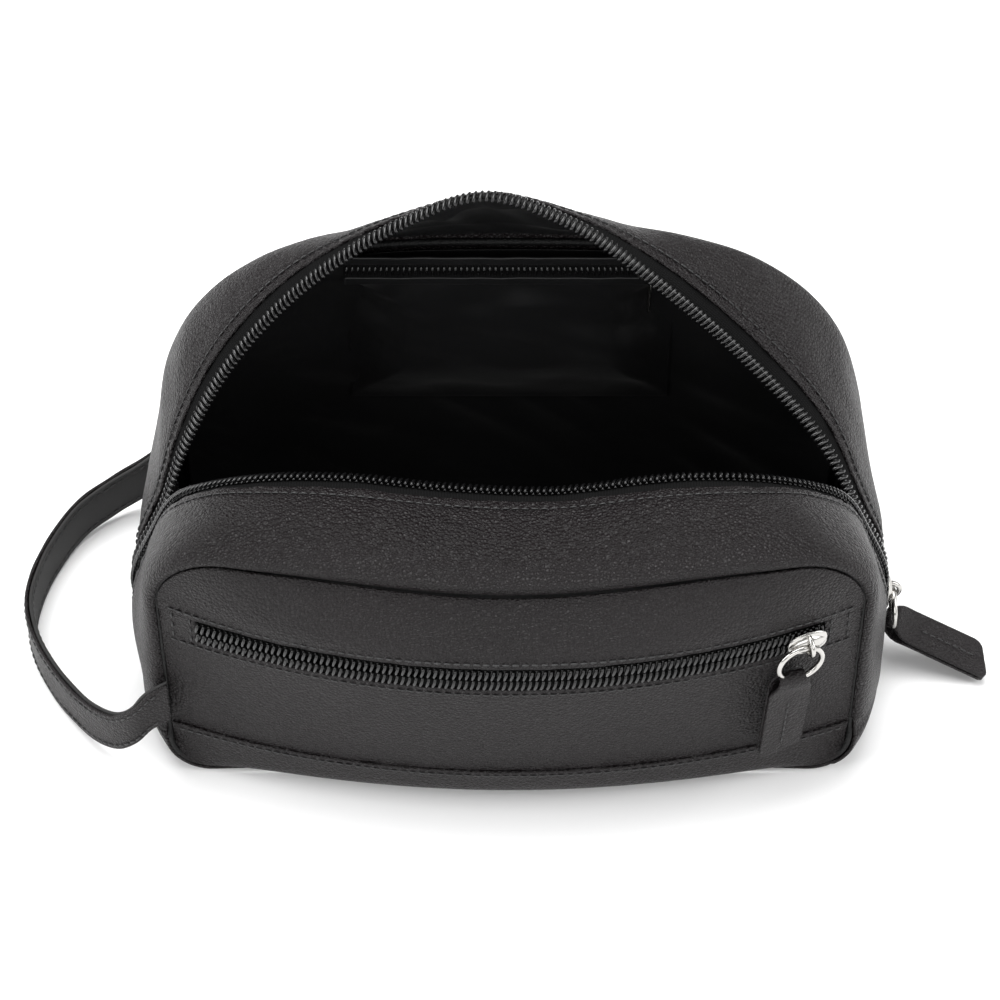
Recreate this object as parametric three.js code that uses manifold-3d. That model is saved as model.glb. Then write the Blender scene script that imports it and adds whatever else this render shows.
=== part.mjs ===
// Leather wash bag: two rounded faces joined by a gusset that carries the main zip, which stands open,
// with a zipped pocket in the front face, a fabric lining with a zipped inner pocket, and a wrist strap.
// Millimetres. +X is to the right, -Y to the front, +Z up.
// The origin is on the floor under the middle of the base.
import * as THREE from "three";
import { mergeVertices } from "three/addons/utils/BufferGeometryUtils.js";
import Module from "manifold-3d";

const wasm = await Module();
wasm.setup();

// ---- Driving dimensions ----
const GAP = 0.3; // clearance between pieces that touch
const LAYER_GAP = 0.45; // between the curved layers of the gusset
const LEATHER = 1.3;
const TAPE = 0.6;
const LINING = 0.5;

const SEAM_INSET = 1.2; // a face panel stops this far inside its seam

const FRONT_HALF_WIDTH = 115.5;
const FRONT_HEIGHT = 101; // front top seam at the middle
const FRONT_TOP_RISE = 5; // how much higher that seam is towards the corners
const FRONT_TOP_RADIUS = 24;
const FRONT_REACH = 80; // foremost point of the front face, in front of the middle
const FRONT_BOW_RADIUS = 270; // the front face bows round this radius in plan
const FRONT_FOOT_FORWARD = 5; // the side seams of the front lean forward by this much at the foot

const BACK_HALF_WIDTH = 119;
const BACK_HEIGHT = 138; // back top seam at the middle
const BACK_SHOULDER = 60; // where the back face's sides start to turn in
const BACK_SEAM_Y = 58;
const BACK_BULGE = 8;

const BOTTOM_RADIUS = 14; // bottom corners of both faces
const BOTTOM_SEAM_Z = LEATHER + GAP;
const SIDE_SEAM_Z = 23; // where the zipped gusset is sewn to the base strip
const BAND_HEIGHT = 22; // lapped seam of the front's bottom band
const SIDE_BULGE = 10; // the base strip stands out this far at the sides

const LIP_X = 129; // where the two zip halves meet at the sides
const ZIP_Y = -4; // the zip's centre line there
const LIP_STRAIGHT_TOP = 44; // the zip runs straight up to this height
const RIM_OUT = 8.5; // how far the gusset rolls out beyond the face seams
const RIM_FORWARD = 6.5;
const GUSSET_CROWN = 9; // over the top
const GUSSET_SIDE_CROWN = 6;

const COIL_WIDTH = 4; // one side of the zip
const COIL_HEIGHT = 2.6;
const COIL_GAP = 1; // between the two sides when they are together
const TAPE_SHOWN = 6.5; // from the middle of a coil to the leather edge
const TAPE_HIDDEN = 8; // tape sewn under the leather
const POCKET_TAPE_HIDDEN = 2.5;
const CLOSED_TOP = 33; // the main zip is closed up to this height at both sides

const POCKET_ZIP_Z = 75;
const POCKET_WINDOW = 11; // height of the opening in the leather
const POCKET_TAB_LENGTH = 13;
const POCKET_SLIDER_X = 96;

const SLIDER_LENGTH = 14;
const SLIDER_WIDTH = 10;
const SLIDER_PLATE = 1.2;
const SLIDER_PLAY = 0.4;
const MAIN_SLIDER_Z = 31;
const BAIL_HEIGHT = 4.3;
const BAIL_WIRE = 1.4;
const RING_RADIUS = 7.6; // to the middle of the wire
const RING_WIRE = 1; // radius of the wire
const RING_PLAY = 1.4; // round the wire inside the tab's fold
const PULL_LENGTH = 38;
const PULL_WIDTH = 15;
const PULL_SLANT = 5; // one edge of the tab is shorter by this much
const PULL_NECK = 3.8;
const PULL_THICKNESS = 2.8;

const STRAP_WIDTH = 18;
const STRAP_LAYER = 1.35;

const INNER_POCKET_Y = 51;
const INNER_POCKET_HALF_WIDTH = 56;
const INNER_POCKET_BOTTOM = 62;
const INNER_ZIP_Z = BACK_HEIGHT - 6;
const INNER_ZIP_HEIGHT = 11;

// ---- Materials ----
function finish(colour, roughness, metalness) {
  return new THREE.MeshStandardMaterial({ color: colour, roughness, metalness });
}
const leather = () => finish(0x1b1a1c, 0.5, 0);
const nylon = () => finish(0x0c0c0e, 0.6, 0);
const tapeCloth = () => finish(0x101012, 0.85, 0);
const coilPlastic = () => finish(0x17171a, 0.35, 0);
const nickel = () => finish(0xc9c7c2, 0.2, 1);
const fibreboard = () => finish(0x4a4038, 0.9, 0);

const bag = new THREE.Group();

function add(name, geometry, material, parent = bag) {
  const mesh = new THREE.Mesh(geometry, material);
  mesh.name = name;
  parent.add(mesh);
  return mesh;
}

// ---- Solids from curved surfaces ----
function lerp(a, b, t) {
  return a + (b - a) * t;
}

function volumeOf(points, faces) {
  let sum = 0;
  for (const [a, b, c] of faces) sum += points[a].dot(points[b].clone().cross(points[c]));
  return sum / 6;
}

function geometryFrom(points, faces) {
  const turned = volumeOf(points, faces) < 0;
  const flat = faces.flatMap(([a, b, c]) => (turned ? [a, c, b] : [a, b, c]));
  const geometry = new THREE.BufferGeometry();
  geometry.setAttribute("position", new THREE.Float32BufferAttribute(points.flatMap((p) => p.toArray()), 3));
  geometry.setIndex(flat);
  return geometry;
}

// A closed sheet on the surface at(u, v), between two offsets along the normal facing(u, v).
function sheet({ at, facing, us, vs, top, bottom }) {
  const points = [];
  for (const offset of [top, bottom])
    for (const u of us)
      for (const v of vs(u)) points.push(at(u, v).addScaledVector(facing(u, v), offset));
  const across = vs(us[0]).length;
  const layer = us.length * across;
  const faces = [];
  const quad = (a, b, c, d) => faces.push([a, b, c], [a, c, d]);
  const id = (k, i, j) => k * layer + i * across + j;
  for (let i = 0; i + 1 < us.length; i++)
    for (let j = 0; j + 1 < across; j++) {
      quad(id(0, i, j), id(0, i + 1, j), id(0, i + 1, j + 1), id(0, i, j + 1));
      quad(id(1, i, j), id(1, i, j + 1), id(1, i + 1, j + 1), id(1, i + 1, j));
    }
  for (let i = 0; i + 1 < us.length; i++) {
    quad(id(0, i, 0), id(1, i, 0), id(1, i + 1, 0), id(0, i + 1, 0));
    const j = across - 1;
    quad(id(0, i, j), id(0, i + 1, j), id(1, i + 1, j), id(1, i, j));
  }
  for (let j = 0; j + 1 < across; j++) {
    quad(id(0, 0, j), id(0, 0, j + 1), id(1, 0, j + 1), id(1, 0, j));
    const i = us.length - 1;
    quad(id(0, i, j), id(1, i, j), id(1, i, j + 1), id(0, i, j + 1));
  }
  return geometryFrom(points, faces);
}

function steps(from, to, count) {
  return Array.from({ length: count + 1 }, (_, i) => lerp(from, to, i / count));
}

// Steps across a face, closer together where its corners turn.
function columns(halfWidth, count) {
  return steps(-1, 1, count).map((k) => halfWidth * Math.sin((k * Math.PI) / 2));
}

// ---- Faces: y as a function of x and z inside a rounded outline ----
function bottomEdge(x, halfWidth) {
  const past = Math.max(0, Math.abs(x) - (halfWidth - BOTTOM_RADIUS));
  return BOTTOM_SEAM_Z + BOTTOM_RADIUS - Math.sqrt(Math.max(0, BOTTOM_RADIUS ** 2 - past ** 2));
}

function frontTop(x) {
  const past = Math.max(0, Math.abs(x) - (FRONT_HALF_WIDTH - FRONT_TOP_RADIUS));
  const rise = FRONT_TOP_RISE * Math.sin((Math.PI / 2) * Math.min(1, Math.abs(x) / 80)) ** 2;
  return FRONT_HEIGHT + rise - FRONT_TOP_RADIUS + Math.sqrt(Math.max(0, FRONT_TOP_RADIUS ** 2 - past ** 2));
}

function backTop(x) {
  const inside = Math.max(0, 1 - Math.abs(x / BACK_HALF_WIDTH) ** 3.5);
  return BACK_SHOULDER + (BACK_HEIGHT - BACK_SHOULDER) * inside ** (1 / 1.9);
}

const bowAt = (x) => FRONT_BOW_RADIUS - Math.sqrt(FRONT_BOW_RADIUS ** 2 - x ** 2);
const FRONT_SIDE_Y = bowAt(FRONT_HALF_WIDTH) - FRONT_REACH;
const frontSideY = (z) => FRONT_SIDE_Y - FRONT_FOOT_FORWARD * Math.max(0, 1 - z / (POCKET_ZIP_Z - 20));

// How much of the full bow a face has at a height: share is 0 at the bottom seam and 1 at the top one.
function profile(knots, share) {
  const curve = new THREE.SplineCurve(knots.map(([s, h]) => new THREE.Vector2(s, h)));
  let low = 0;
  let high = 1;
  for (let i = 0; i < 24; i++) {
    const middle = (low + high) / 2;
    if (curve.getPoint(middle).x < share) low = middle;
    else high = middle;
  }
  return curve.getPoint((low + high) / 2).y;
}
const FRONT_PROFILE = [
  [0, -0.08], [0.03, 0.48], [0.08, 0.74], [0.2, 0.85], [0.42, 0.94],
  [0.62, 1], [0.72, 1], [0.82, 1], [0.93, 0.74], [1, 0.47],
];
const BACK_PROFILE = [[0, -0.6], [0.04, 0.3], [0.12, 0.8], [0.3, 1], [0.6, 1], [0.85, 0.6], [1, 0.25]];

function tabulated(knots) {
  const count = 200;
  const values = steps(0, 1, count).map((s) => profile(knots, s));
  return (share) => {
    const k = Math.min(0.9999, Math.max(0, share)) * count;
    return lerp(values[Math.floor(k)], values[Math.floor(k) + 1], k % 1);
  };
}
const frontShare = tabulated(FRONT_PROFILE);
const backShare = tabulated(BACK_PROFILE);

function frontY(x, z) {
  const inside = Math.min(Math.abs(x), FRONT_HALF_WIDTH);
  const low = bottomEdge(inside, FRONT_HALF_WIDTH);
  const share = frontShare((z - low) / (frontTop(inside) - low));
  const side = frontSideY(z);
  return side - (side + FRONT_REACH - bowAt(inside)) * share;
}

function backY(x, z) {
  const inside = Math.min(Math.abs(x), BACK_HALF_WIDTH);
  const low = bottomEdge(inside, BACK_HALF_WIDTH);
  const share = backShare((z - low) / (backTop(inside) - low));
  return BACK_SEAM_Y + BACK_BULGE * (1 - (inside / BACK_HALF_WIDTH) ** 2) * share;
}

// A face surface: points and outward normals, side is -1 for the front and 1 for the back.
function faceSurface(depth, side) {
  const step = 0.5;
  return {
    at: (x, z) => new THREE.Vector3(x, depth(x, z), z),
    facing: (x, z) => {
      const dx = (depth(x + step, z) - depth(x - step, z)) / (2 * step);
      const dz = (depth(x, z + step) - depth(x, z - step)) / (2 * step);
      return new THREE.Vector3(-dx, 1, -dz).multiplyScalar(side).normalize();
    },
  };
}
const frontFace = faceSurface(frontY, -1);
const backFace = faceSurface(backY, 1);

// A piece of a face between two heights, which may depend on x, kept inside the outline by an inset.
function facePiece({ surface, halfWidth, from, to, count, rows, top = 0, thickness = LEATHER }) {
  return sheet({
    ...surface,
    us: columns(halfWidth, count),
    vs: (x) => steps(from(x), to(x), rows),
    top: -top,
    bottom: -top - thickness,
  });
}

// ---- Seams and lips: curves sampled by length, left side seam to right side seam ----
function sampledCurve(points) {
  const lengths = [0];
  for (let i = 1; i < points.length; i++) lengths.push(lengths[i - 1] + points[i].distanceTo(points[i - 1]));
  const total = lengths[lengths.length - 1];
  const at = (u) => {
    const wanted = Math.min(1, Math.max(0, u)) * total;
    let i = 1;
    while (i < points.length - 1 && lengths[i] < wanted) i++;
    const t = (wanted - lengths[i - 1]) / (lengths[i] - lengths[i - 1]);
    return points[i - 1].clone().lerp(points[i], t);
  };
  return { at, total };
}

const SEAM_START = SIDE_SEAM_Z + GAP / 2;

function topSeam(surface, halfWidth, topOf) {
  const edge = columns(halfWidth, 120).map((x) => surface.at(x, topOf(x)));
  const side = (x, zs) => zs.map((z) => surface.at(x, z));
  const left = side(-halfWidth, steps(SEAM_START, topOf(halfWidth), 12).slice(0, -1));
  const right = side(halfWidth, steps(topOf(halfWidth), SEAM_START, 12).slice(1));
  return sampledCurve([...left, ...edge, ...right]);
}
const frontSeam = topSeam(frontFace, FRONT_HALF_WIDTH, frontTop);
const backSeam = topSeam(backFace, BACK_HALF_WIDTH, backTop);

const COIL_OFFSET = (COIL_WIDTH + COIL_GAP) / 2; // from the zip's centre line to the middle of one coil

function lipCurve(knots, side) {
  const y = ZIP_Y + COIL_OFFSET * side;
  const start = (x) => [[x, y, SEAM_START], [x, y, CLOSED_TOP - 3]];
  const all = [...start(-LIP_X), ...knots, ...start(LIP_X).reverse()];
  const curve = new THREE.CatmullRomCurve3(all.map((p) => new THREE.Vector3(...p)), false, "centripetal");
  return sampledCurve(curve.getPoints(400));
}
const frontHalfKnots = [
  [52, -25, 111.5],
  [77, -22.5, 109],
  [99, -16, 98],
  [112, -10.5, 85.5],
  [121, -8, 66],
  [LIP_X, ZIP_Y - 3.3, LIP_STRAIGHT_TOP],
];
const frontKnots = [
  ...frontHalfKnots.map(([x, y, z]) => [-x, y, z]).reverse(),
  [-22, -27, 109.3],
  [14, -27, 107.4],
  ...frontHalfKnots,
];
const backKnots = [
  [-LIP_X, ZIP_Y + 3.3, LIP_STRAIGHT_TOP],
  [-119, 6, 63],
  [-110, 16, 85],
  [-95, 26, 111],
  [-70, 35, 138.5],
  [-37, 39.5, 164],
  [-8, 40.5, 178.5],
  [20, 39.5, 165],
  [50, 36, 139.5],
  [80, 30, 110.5],
  [105, 19, 84.5],
  [119, 6, 63],
  [LIP_X, ZIP_Y + 3.3, LIP_STRAIGHT_TOP],
];
const frontLip = lipCurve(frontKnots, -1);
const backLip = lipCurve(backKnots, 1);

// Half of the zipped gusset: across it v runs from the face seam (0) to the middle of the coil (1).
function gussetSurface(seam, lip, side) {
  const outwardAt = (u) => {
    const along = seam.at(u + 0.01).sub(seam.at(u - 0.01));
    return new THREE.Vector3(-along.z, 0, along.x).normalize();
  };
  const section = (u) => {
    const outward = outwardAt(u);
    const start = seam.at(u);
    const end = lip.at(u);
    const forward = new THREE.Vector3(0, RIM_FORWARD * side, 0);
    const first = start.clone().addScaledVector(outward, RIM_OUT).add(forward);
    const crown = lerp(GUSSET_SIDE_CROWN, GUSSET_CROWN, Math.abs(outward.z));
    const second = end.clone().lerp(start, 0.35).addScaledVector(outward, crown);
    return [start, first, second, end];
  };
  const cache = new Map();
  const sectionAt = (u) => {
    if (!cache.has(u)) cache.set(u, section(u));
    return cache.get(u);
  };
  const at = (u, v) => {
    const w = 1 - v;
    const [p0, p1, p2, p3] = sectionAt(u);
    return new THREE.Vector3()
      .addScaledVector(p0, w * w * w)
      .addScaledVector(p1, 3 * w * w * v)
      .addScaledVector(p2, 3 * w * v * v)
      .addScaledVector(p3, v * v * v);
  };
  const facing = (u, v) => {
    const du = Math.min(0.995, Math.max(0.005, u));
    const along = at(du + 0.004, v).sub(at(du - 0.004, v));
    const across = at(u, v + 0.01).sub(at(u, v - 0.01));
    const normal = along.cross(across).normalize().multiplyScalar(-side);
    if (u < 0.005 || u > 0.995) normal.setZ(0).normalize();
    return normal;
  };
  // The v that lies a distance short of the middle of the coil, or past it where the distance is negative.
  const back = (u, distance) => {
    const stride = distance < 0 ? 0.01 : -0.01;
    let v = 1;
    let here = at(u, v);
    let left = Math.abs(distance);
    for (;;) {
      const next = at(u, v + stride);
      const length = next.distanceTo(here);
      if (length >= left) return v + (stride * left) / length;
      left -= length;
      v += stride;
      here = next;
    }
  };
  return { at, facing, back };
}
const frontGusset = gussetSurface(frontSeam, frontLip, -1);
const backGusset = gussetSurface(backSeam, backLip, 1);

const TAPE_TOP = -LEATHER - LAYER_GAP;
const LINING_TOP = TAPE_TOP - TAPE - LAYER_GAP;

function gussetPiece(surface, { us, from, to, rows, top, thickness }) {
  return sheet({
    at: surface.at,
    facing: surface.facing,
    us,
    vs: (u) => steps(from(u), to(u), rows),
    top,
    bottom: top - thickness,
  });
}

// The five layers of one half: leather, tape, coil and lining.
function gussetHalf(name, surface, lip, parent) {
  const shown = (u) => surface.back(u, TAPE_SHOWN);
  const openFrom = (CLOSED_TOP + GAP - SEAM_START) / lip.total;
  const open = steps(openFrom, 1 - openFrom, 42);
  const whole = [0, ...open, 1];
  const leatherPiece = { us: whole, from: () => 0, to: shown, rows: 6, top: 0, thickness: LEATHER };
  add(name + "_gusset", gussetPiece(surface, leatherPiece), leather(), parent);
  const hidden = (u) => surface.back(u, TAPE_SHOWN + TAPE_HIDDEN);
  const tapePiece = { us: whole, from: hidden, to: () => 1, rows: 2, top: TAPE_TOP, thickness: TAPE };
  add("main_zip_tape_" + name, gussetPiece(surface, tapePiece), tapeCloth(), parent);
  const coilPiece = {
    us: open,
    from: (u) => surface.back(u, COIL_WIDTH / 2),
    to: (u) => surface.back(u, -COIL_WIDTH / 2),
    rows: 1,
    top: COIL_HEIGHT / 2,
    thickness: COIL_HEIGHT,
  };
  add("main_zip_coil_" + name, gussetPiece(surface, coilPiece), coilPlastic(), parent);
  const liningPiece = {
    us: [0.008, ...open, 0.992],
    from: () => 0.18,
    to: (u) => surface.back(u, TAPE_SHOWN + 0.5),
    rows: 4,
    top: LINING_TOP,
    thickness: LINING,
  };
  add("lining_" + name + "_gusset", gussetPiece(surface, liningPiece), nylon(), parent);
}

// ---- Front wall: zipped half gusset, face panels and the pocket with its zip ----
function frontPanels(parent) {
  const width = FRONT_HALF_WIDTH - SEAM_INSET;
  const windowLow = POCKET_ZIP_Z - POCKET_WINDOW / 2;
  const windowHigh = POCKET_ZIP_Z + POCKET_WINDOW / 2;
  const piece = (from, to, rows, more = {}) =>
    facePiece({ surface: frontFace, halfWidth: width, from, to, count: 26, rows, ...more });
  const upperTop = (x) => Math.max(windowHigh + 1, frontTop(x) - SEAM_INSET);
  add("front_panel_upper", piece(() => windowHigh, upperTop, 4), leather(), parent);
  add("front_panel_lower", piece(() => BAND_HEIGHT + GAP, () => windowLow, 5), leather(), parent);
  const bandFoot = (x) => bottomEdge(x, FRONT_HALF_WIDTH) + SEAM_INSET + GAP;
  const bandWidth = FRONT_HALF_WIDTH - 3 * SEAM_INSET;
  add("front_bottom_band", piece(bandFoot, () => BAND_HEIGHT, 4, { halfWidth: bandWidth }), leather());
  for (const [name, side] of [["left", -1], ["right", 1]]) {
    const inner = FRONT_HALF_WIDTH - POCKET_TAB_LENGTH;
    const us = steps(inner, width, 3).map((x) => x * side);
    const vs = () => steps(windowLow + GAP, windowHigh - GAP, 1);
    const tab = sheet({ ...frontFace, us, vs, top: 0, bottom: -LEATHER });
    add("pocket_end_tab_" + name, tab, leather(), parent);
  }
  const liningTop = (x) => frontTop(x) - 5;
  const liningFoot = () => BAND_HEIGHT + 2;
  const inset = { count: 20, halfWidth: width - 4, thickness: LINING };
  add("pocket_lining", piece(liningFoot, liningTop, 3, { ...inset, top: 4.6 }), nylon(), parent);
  add("lining_front", piece(liningFoot, liningTop, 3, { ...inset, top: 7.2 }), nylon(), parent);
}

// The pocket zip runs round the bow of the front face at one height.
function pocketStrip(name, z0, z1, top, thickness, material, reach, parent) {
  const turn = Math.asin(reach / FRONT_BOW_RADIUS);
  const geometry = sheet({
    at: (a, z) => new THREE.Vector3(
      FRONT_BOW_RADIUS * Math.sin(a), FRONT_BOW_RADIUS * (1 - Math.cos(a)) - FRONT_REACH, z),
    facing: (a) => new THREE.Vector3(Math.sin(a), -Math.cos(a), 0),
    us: steps(-turn, turn, 26),
    vs: () => steps(z0, z1, 1),
    top,
    bottom: top - thickness,
  });
  add(name, geometry, material, parent);
}

function pocketZip(parent) {
  const reach = FRONT_HALF_WIDTH - POCKET_TAB_LENGTH / 2;
  const half = POCKET_WINDOW / 2 + POCKET_TAPE_HIDDEN;
  const z = POCKET_ZIP_Z;
  const tape = (name, from, to) =>
    pocketStrip(name, from, to, TAPE_TOP, TAPE, tapeCloth(), reach, parent);
  tape("pocket_zip_tape_upper", z + COIL_OFFSET, z + half);
  tape("pocket_zip_tape_lower", z - half, z - COIL_OFFSET);
  const coilReach = FRONT_HALF_WIDTH - POCKET_TAB_LENGTH - GAP;
  const coil = (name, from) => {
    const to = from + COIL_WIDTH;
    pocketStrip(name, from, to, COIL_HEIGHT / 2, COIL_HEIGHT, coilPlastic(), coilReach, parent);
  };
  coil("pocket_zip_coil_upper", z + COIL_GAP / 2);
  coil("pocket_zip_coil_lower", z - COIL_GAP / 2 - COIL_WIDTH);
}

// ---- Joining solids ----
function solidFrom(geometry) {
  const bare = geometry.clone();
  bare.deleteAttribute("normal");
  bare.deleteAttribute("uv");
  const merged = mergeVertices(bare, 1e-4);
  return new wasm.Manifold(new wasm.Mesh({
    numProp: 3,
    vertProperties: merged.attributes.position.array,
    triVerts: new Uint32Array(merged.index.array),
  }));
}

function geometryOf(solid) {
  const mesh = solid.getMesh();
  const geometry = new THREE.BufferGeometry();
  geometry.setAttribute("position", new THREE.BufferAttribute(new Float32Array(mesh.vertProperties), 3));
  geometry.setIndex(new THREE.BufferAttribute(new Uint32Array(mesh.triVerts), 1));
  return geometry;
}

function joined(...geometries) {
  return geometryOf(geometries.map(solidFrom).reduce((a, b) => a.add(b)));
}

function roundedPlate(length, width, radius, thickness) {
  const shape = new THREE.Shape();
  const a = length / 2 - radius;
  const b = width / 2 - radius;
  shape.absarc(a, b, radius, 0, Math.PI / 2);
  shape.absarc(-a, b, radius, Math.PI / 2, Math.PI);
  shape.absarc(-a, -b, radius, Math.PI, 1.5 * Math.PI);
  shape.absarc(a, -b, radius, 1.5 * Math.PI, 2 * Math.PI);
  return new THREE.ExtrudeGeometry(shape, { depth: thickness, bevelEnabled: false, curveSegments: 4 });
}

// ---- Zip slider: x along the zip, y across it, z out of the leather, whose face is at z = 0 ----
const PLATE_TOP = COIL_HEIGHT / 2 + SLIDER_PLAY + SLIDER_PLATE;
const PLATE_LOW = TAPE_TOP - TAPE - SLIDER_PLAY;
const BAIL_SPAN = 8.6;

function bailGeometry(across) {
  const arch = new THREE.Shape();
  const foot = -0.4;
  arch.moveTo(-BAIL_SPAN / 2, foot);
  arch.lineTo(-BAIL_SPAN / 2, 0);
  arch.absellipse(0, 0, BAIL_SPAN / 2, BAIL_HEIGHT, Math.PI, 0, true);
  arch.lineTo(BAIL_SPAN / 2, foot);
  arch.lineTo(BAIL_SPAN / 2 - BAIL_WIRE, foot);
  arch.lineTo(BAIL_SPAN / 2 - BAIL_WIRE, 0);
  arch.absellipse(0, 0, BAIL_SPAN / 2 - BAIL_WIRE, BAIL_HEIGHT - BAIL_WIRE, 0, Math.PI, false);
  arch.lineTo(-BAIL_SPAN / 2 + BAIL_WIRE, foot);
  const bail = new THREE.ExtrudeGeometry(arch, { depth: 2.2, bevelEnabled: false, curveSegments: 6 });
  bail.translate(0, 0, -1.1).rotateX(Math.PI / 2);
  if (across) bail.rotateZ(Math.PI / 2);
  return bail.translate(0, 0, PLATE_TOP);
}

function sliderGeometry(bailAcross) {
  const upper = roundedPlate(SLIDER_LENGTH, SLIDER_WIDTH, 3, SLIDER_PLATE);
  upper.translate(0, 0, PLATE_TOP - SLIDER_PLATE);
  const lower = roundedPlate(SLIDER_LENGTH, SLIDER_WIDTH, 3, SLIDER_PLATE);
  lower.translate(0, 0, PLATE_LOW - SLIDER_PLATE);
  const webHeight = PLATE_TOP - PLATE_LOW;
  const web = new THREE.BoxGeometry(4, COIL_GAP - 2 * GAP, webHeight);
  web.translate(4, 0, PLATE_LOW + webHeight / 2 - 0.2);
  return joined(upper, lower, web, bailGeometry(bailAcross));
}

const RING_SEAT = PLATE_TOP + RING_WIRE + SLIDER_PLAY; // the ring wire's middle, in the bail

// A ring through the bail: x along its hang, z along its axis, the bail's wire at the origin.
function ringGeometry() {
  const ring = new THREE.TorusGeometry(RING_RADIUS, RING_WIRE, 8, 22);
  return ring.translate(RING_RADIUS, 0, 0);
}

// A folded leather tab: x along its length, y across it, z through it, the ring's wire at the origin.
function pullGeometry() {
  const loop = new THREE.Shape();
  const inner = RING_WIRE + RING_PLAY;
  loop.absarc(0, 0, inner + 1.1, Math.PI / 2, 1.5 * Math.PI);
  loop.lineTo(7.5, -PULL_THICKNESS / 2);
  loop.lineTo(7.5, PULL_THICKNESS / 2);
  const hole = new THREE.Path();
  hole.absarc(0, 0, inner, 0, 2 * Math.PI);
  loop.holes.push(hole);
  const neck = new THREE.ExtrudeGeometry(loop, { depth: PULL_NECK, bevelEnabled: false, curveSegments: 6 });
  neck.translate(0, 0, -PULL_NECK / 2).rotateX(Math.PI / 2);
  const tab = new THREE.Shape();
  const half = PULL_WIDTH / 2;
  const corner = 3;
  tab.moveTo(5, -PULL_NECK / 2);
  tab.lineTo(9, -half);
  tab.lineTo(PULL_LENGTH - corner, -half);
  tab.absarc(PULL_LENGTH - corner, -half + corner, corner, -Math.PI / 2, 0);
  tab.absarc(PULL_LENGTH - PULL_SLANT - corner, half - corner, corner, 0, Math.PI / 2);
  tab.lineTo(9, half);
  tab.lineTo(5, PULL_NECK / 2);
  const plate = new THREE.ExtrudeGeometry(tab, {
    depth: PULL_THICKNESS,
    bevelEnabled: false,
    curveSegments: 4,
  });
  plate.translate(0, 0, -PULL_THICKNESS / 2);
  return joined(neck, plate);
}

// Places a group so that its x axis runs along one direction and its z axis close to another.
function place(group, origin, xAxis, zAxis) {
  const x = xAxis.clone().normalize();
  const y = zAxis.clone().cross(x).normalize();
  const z = x.clone().cross(y);
  group.applyMatrix4(new THREE.Matrix4().makeBasis(x, y, z).setPosition(origin));
  bag.add(group);
}

// A slider with its ring and tab. hang and tab are the directions in which the ring and the tab hang.
function puller(name, origin, along, out, hang, tab, tabOut, bailAcross) {
  const slider = new THREE.Group();
  add(name + "_slider", sliderGeometry(bailAcross), nickel(), slider);
  place(slider, origin, along, out);
  const seat = origin.clone().addScaledVector(out, RING_SEAT);
  const ring = new THREE.Group();
  add(name + "_ring", ringGeometry(), nickel(), ring);
  place(ring, seat, hang, out);
  const foot = seat.clone().addScaledVector(hang.clone().normalize(), 2 * RING_RADIUS);
  const pull = new THREE.Group();
  add(name + "_pull", pullGeometry(), leather(), pull);
  place(pull, foot, tab, tabOut);
}

function pocketPuller() {
  const turn = Math.asin(POCKET_SLIDER_X / FRONT_BOW_RADIUS);
  const out = new THREE.Vector3(Math.sin(turn), -Math.cos(turn), 0);
  const along = new THREE.Vector3(Math.cos(turn), Math.sin(turn), 0);
  const y = FRONT_BOW_RADIUS * (1 - Math.cos(turn)) - FRONT_REACH;
  const origin = new THREE.Vector3(FRONT_BOW_RADIUS * Math.sin(turn), y, POCKET_ZIP_Z);
  const down = new THREE.Vector3(0, 0, -1);
  const hang = down.clone().addScaledVector(along, -0.42).addScaledVector(out, -0.03);
  const tab = down.clone().addScaledVector(along, -0.06);
  puller("pocket", origin, along, out, hang, tab, out, true);
}

function mainPuller() {
  const origin = new THREE.Vector3(LIP_X, ZIP_Y, MAIN_SLIDER_Z);
  const out = new THREE.Vector3(1, 0, 0);
  const up = new THREE.Vector3(0, 0, 1);
  const hang = new THREE.Vector3(0.08, -0.1, -1);
  const tab = new THREE.Vector3(0.9, -0.24, -0.355);
  const tabOut = new THREE.Vector3(0.36, -0.1, 0.93);
  puller("main", origin, up, out, hang, tab, tabOut, false);
}

// ---- Body: back face, base strip, board and linings ----
function backPanel() {
  const low = (x) => bottomEdge(x, BACK_HALF_WIDTH) + SEAM_INSET / 2;
  const high = (x) => backTop(x) - SEAM_INSET;
  const width = BACK_HALF_WIDTH - SEAM_INSET;
  const back = { surface: backFace, halfWidth: width, from: low, to: high, count: 26, rows: 10 };
  add("back_panel", facePiece(back), leather());
  const lining = {
    surface: backFace,
    halfWidth: width - 4,
    from: (x) => low(x) + 14,
    to: (x) => high(x) - 2.5,
    count: 22,
    rows: 5,
    top: 3,
    thickness: LINING,
  };
  add("lining_back", facePiece(lining), nylon());
}

// One side's bottom outline of a face, from the left side seam round under the bag to the right one.
function bottomSeam(surface, halfWidth) {
  const top = SIDE_SEAM_Z - GAP / 2;
  const low = bottomEdge(halfWidth, halfWidth);
  const sides = steps(top, low, 4).slice(0, -1);
  const under = columns(halfWidth, 100).map((x) => surface.at(x, bottomEdge(x, halfWidth)));
  const left = sides.map((z) => surface.at(-halfWidth, z));
  const right = sides.map((z) => surface.at(halfWidth, z)).reverse();
  return sampledCurve([...left, ...under, ...right]);
}
const frontFoot = bottomSeam(frontFace, FRONT_HALF_WIDTH);
const backFoot = bottomSeam(backFace, BACK_HALF_WIDTH);

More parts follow.
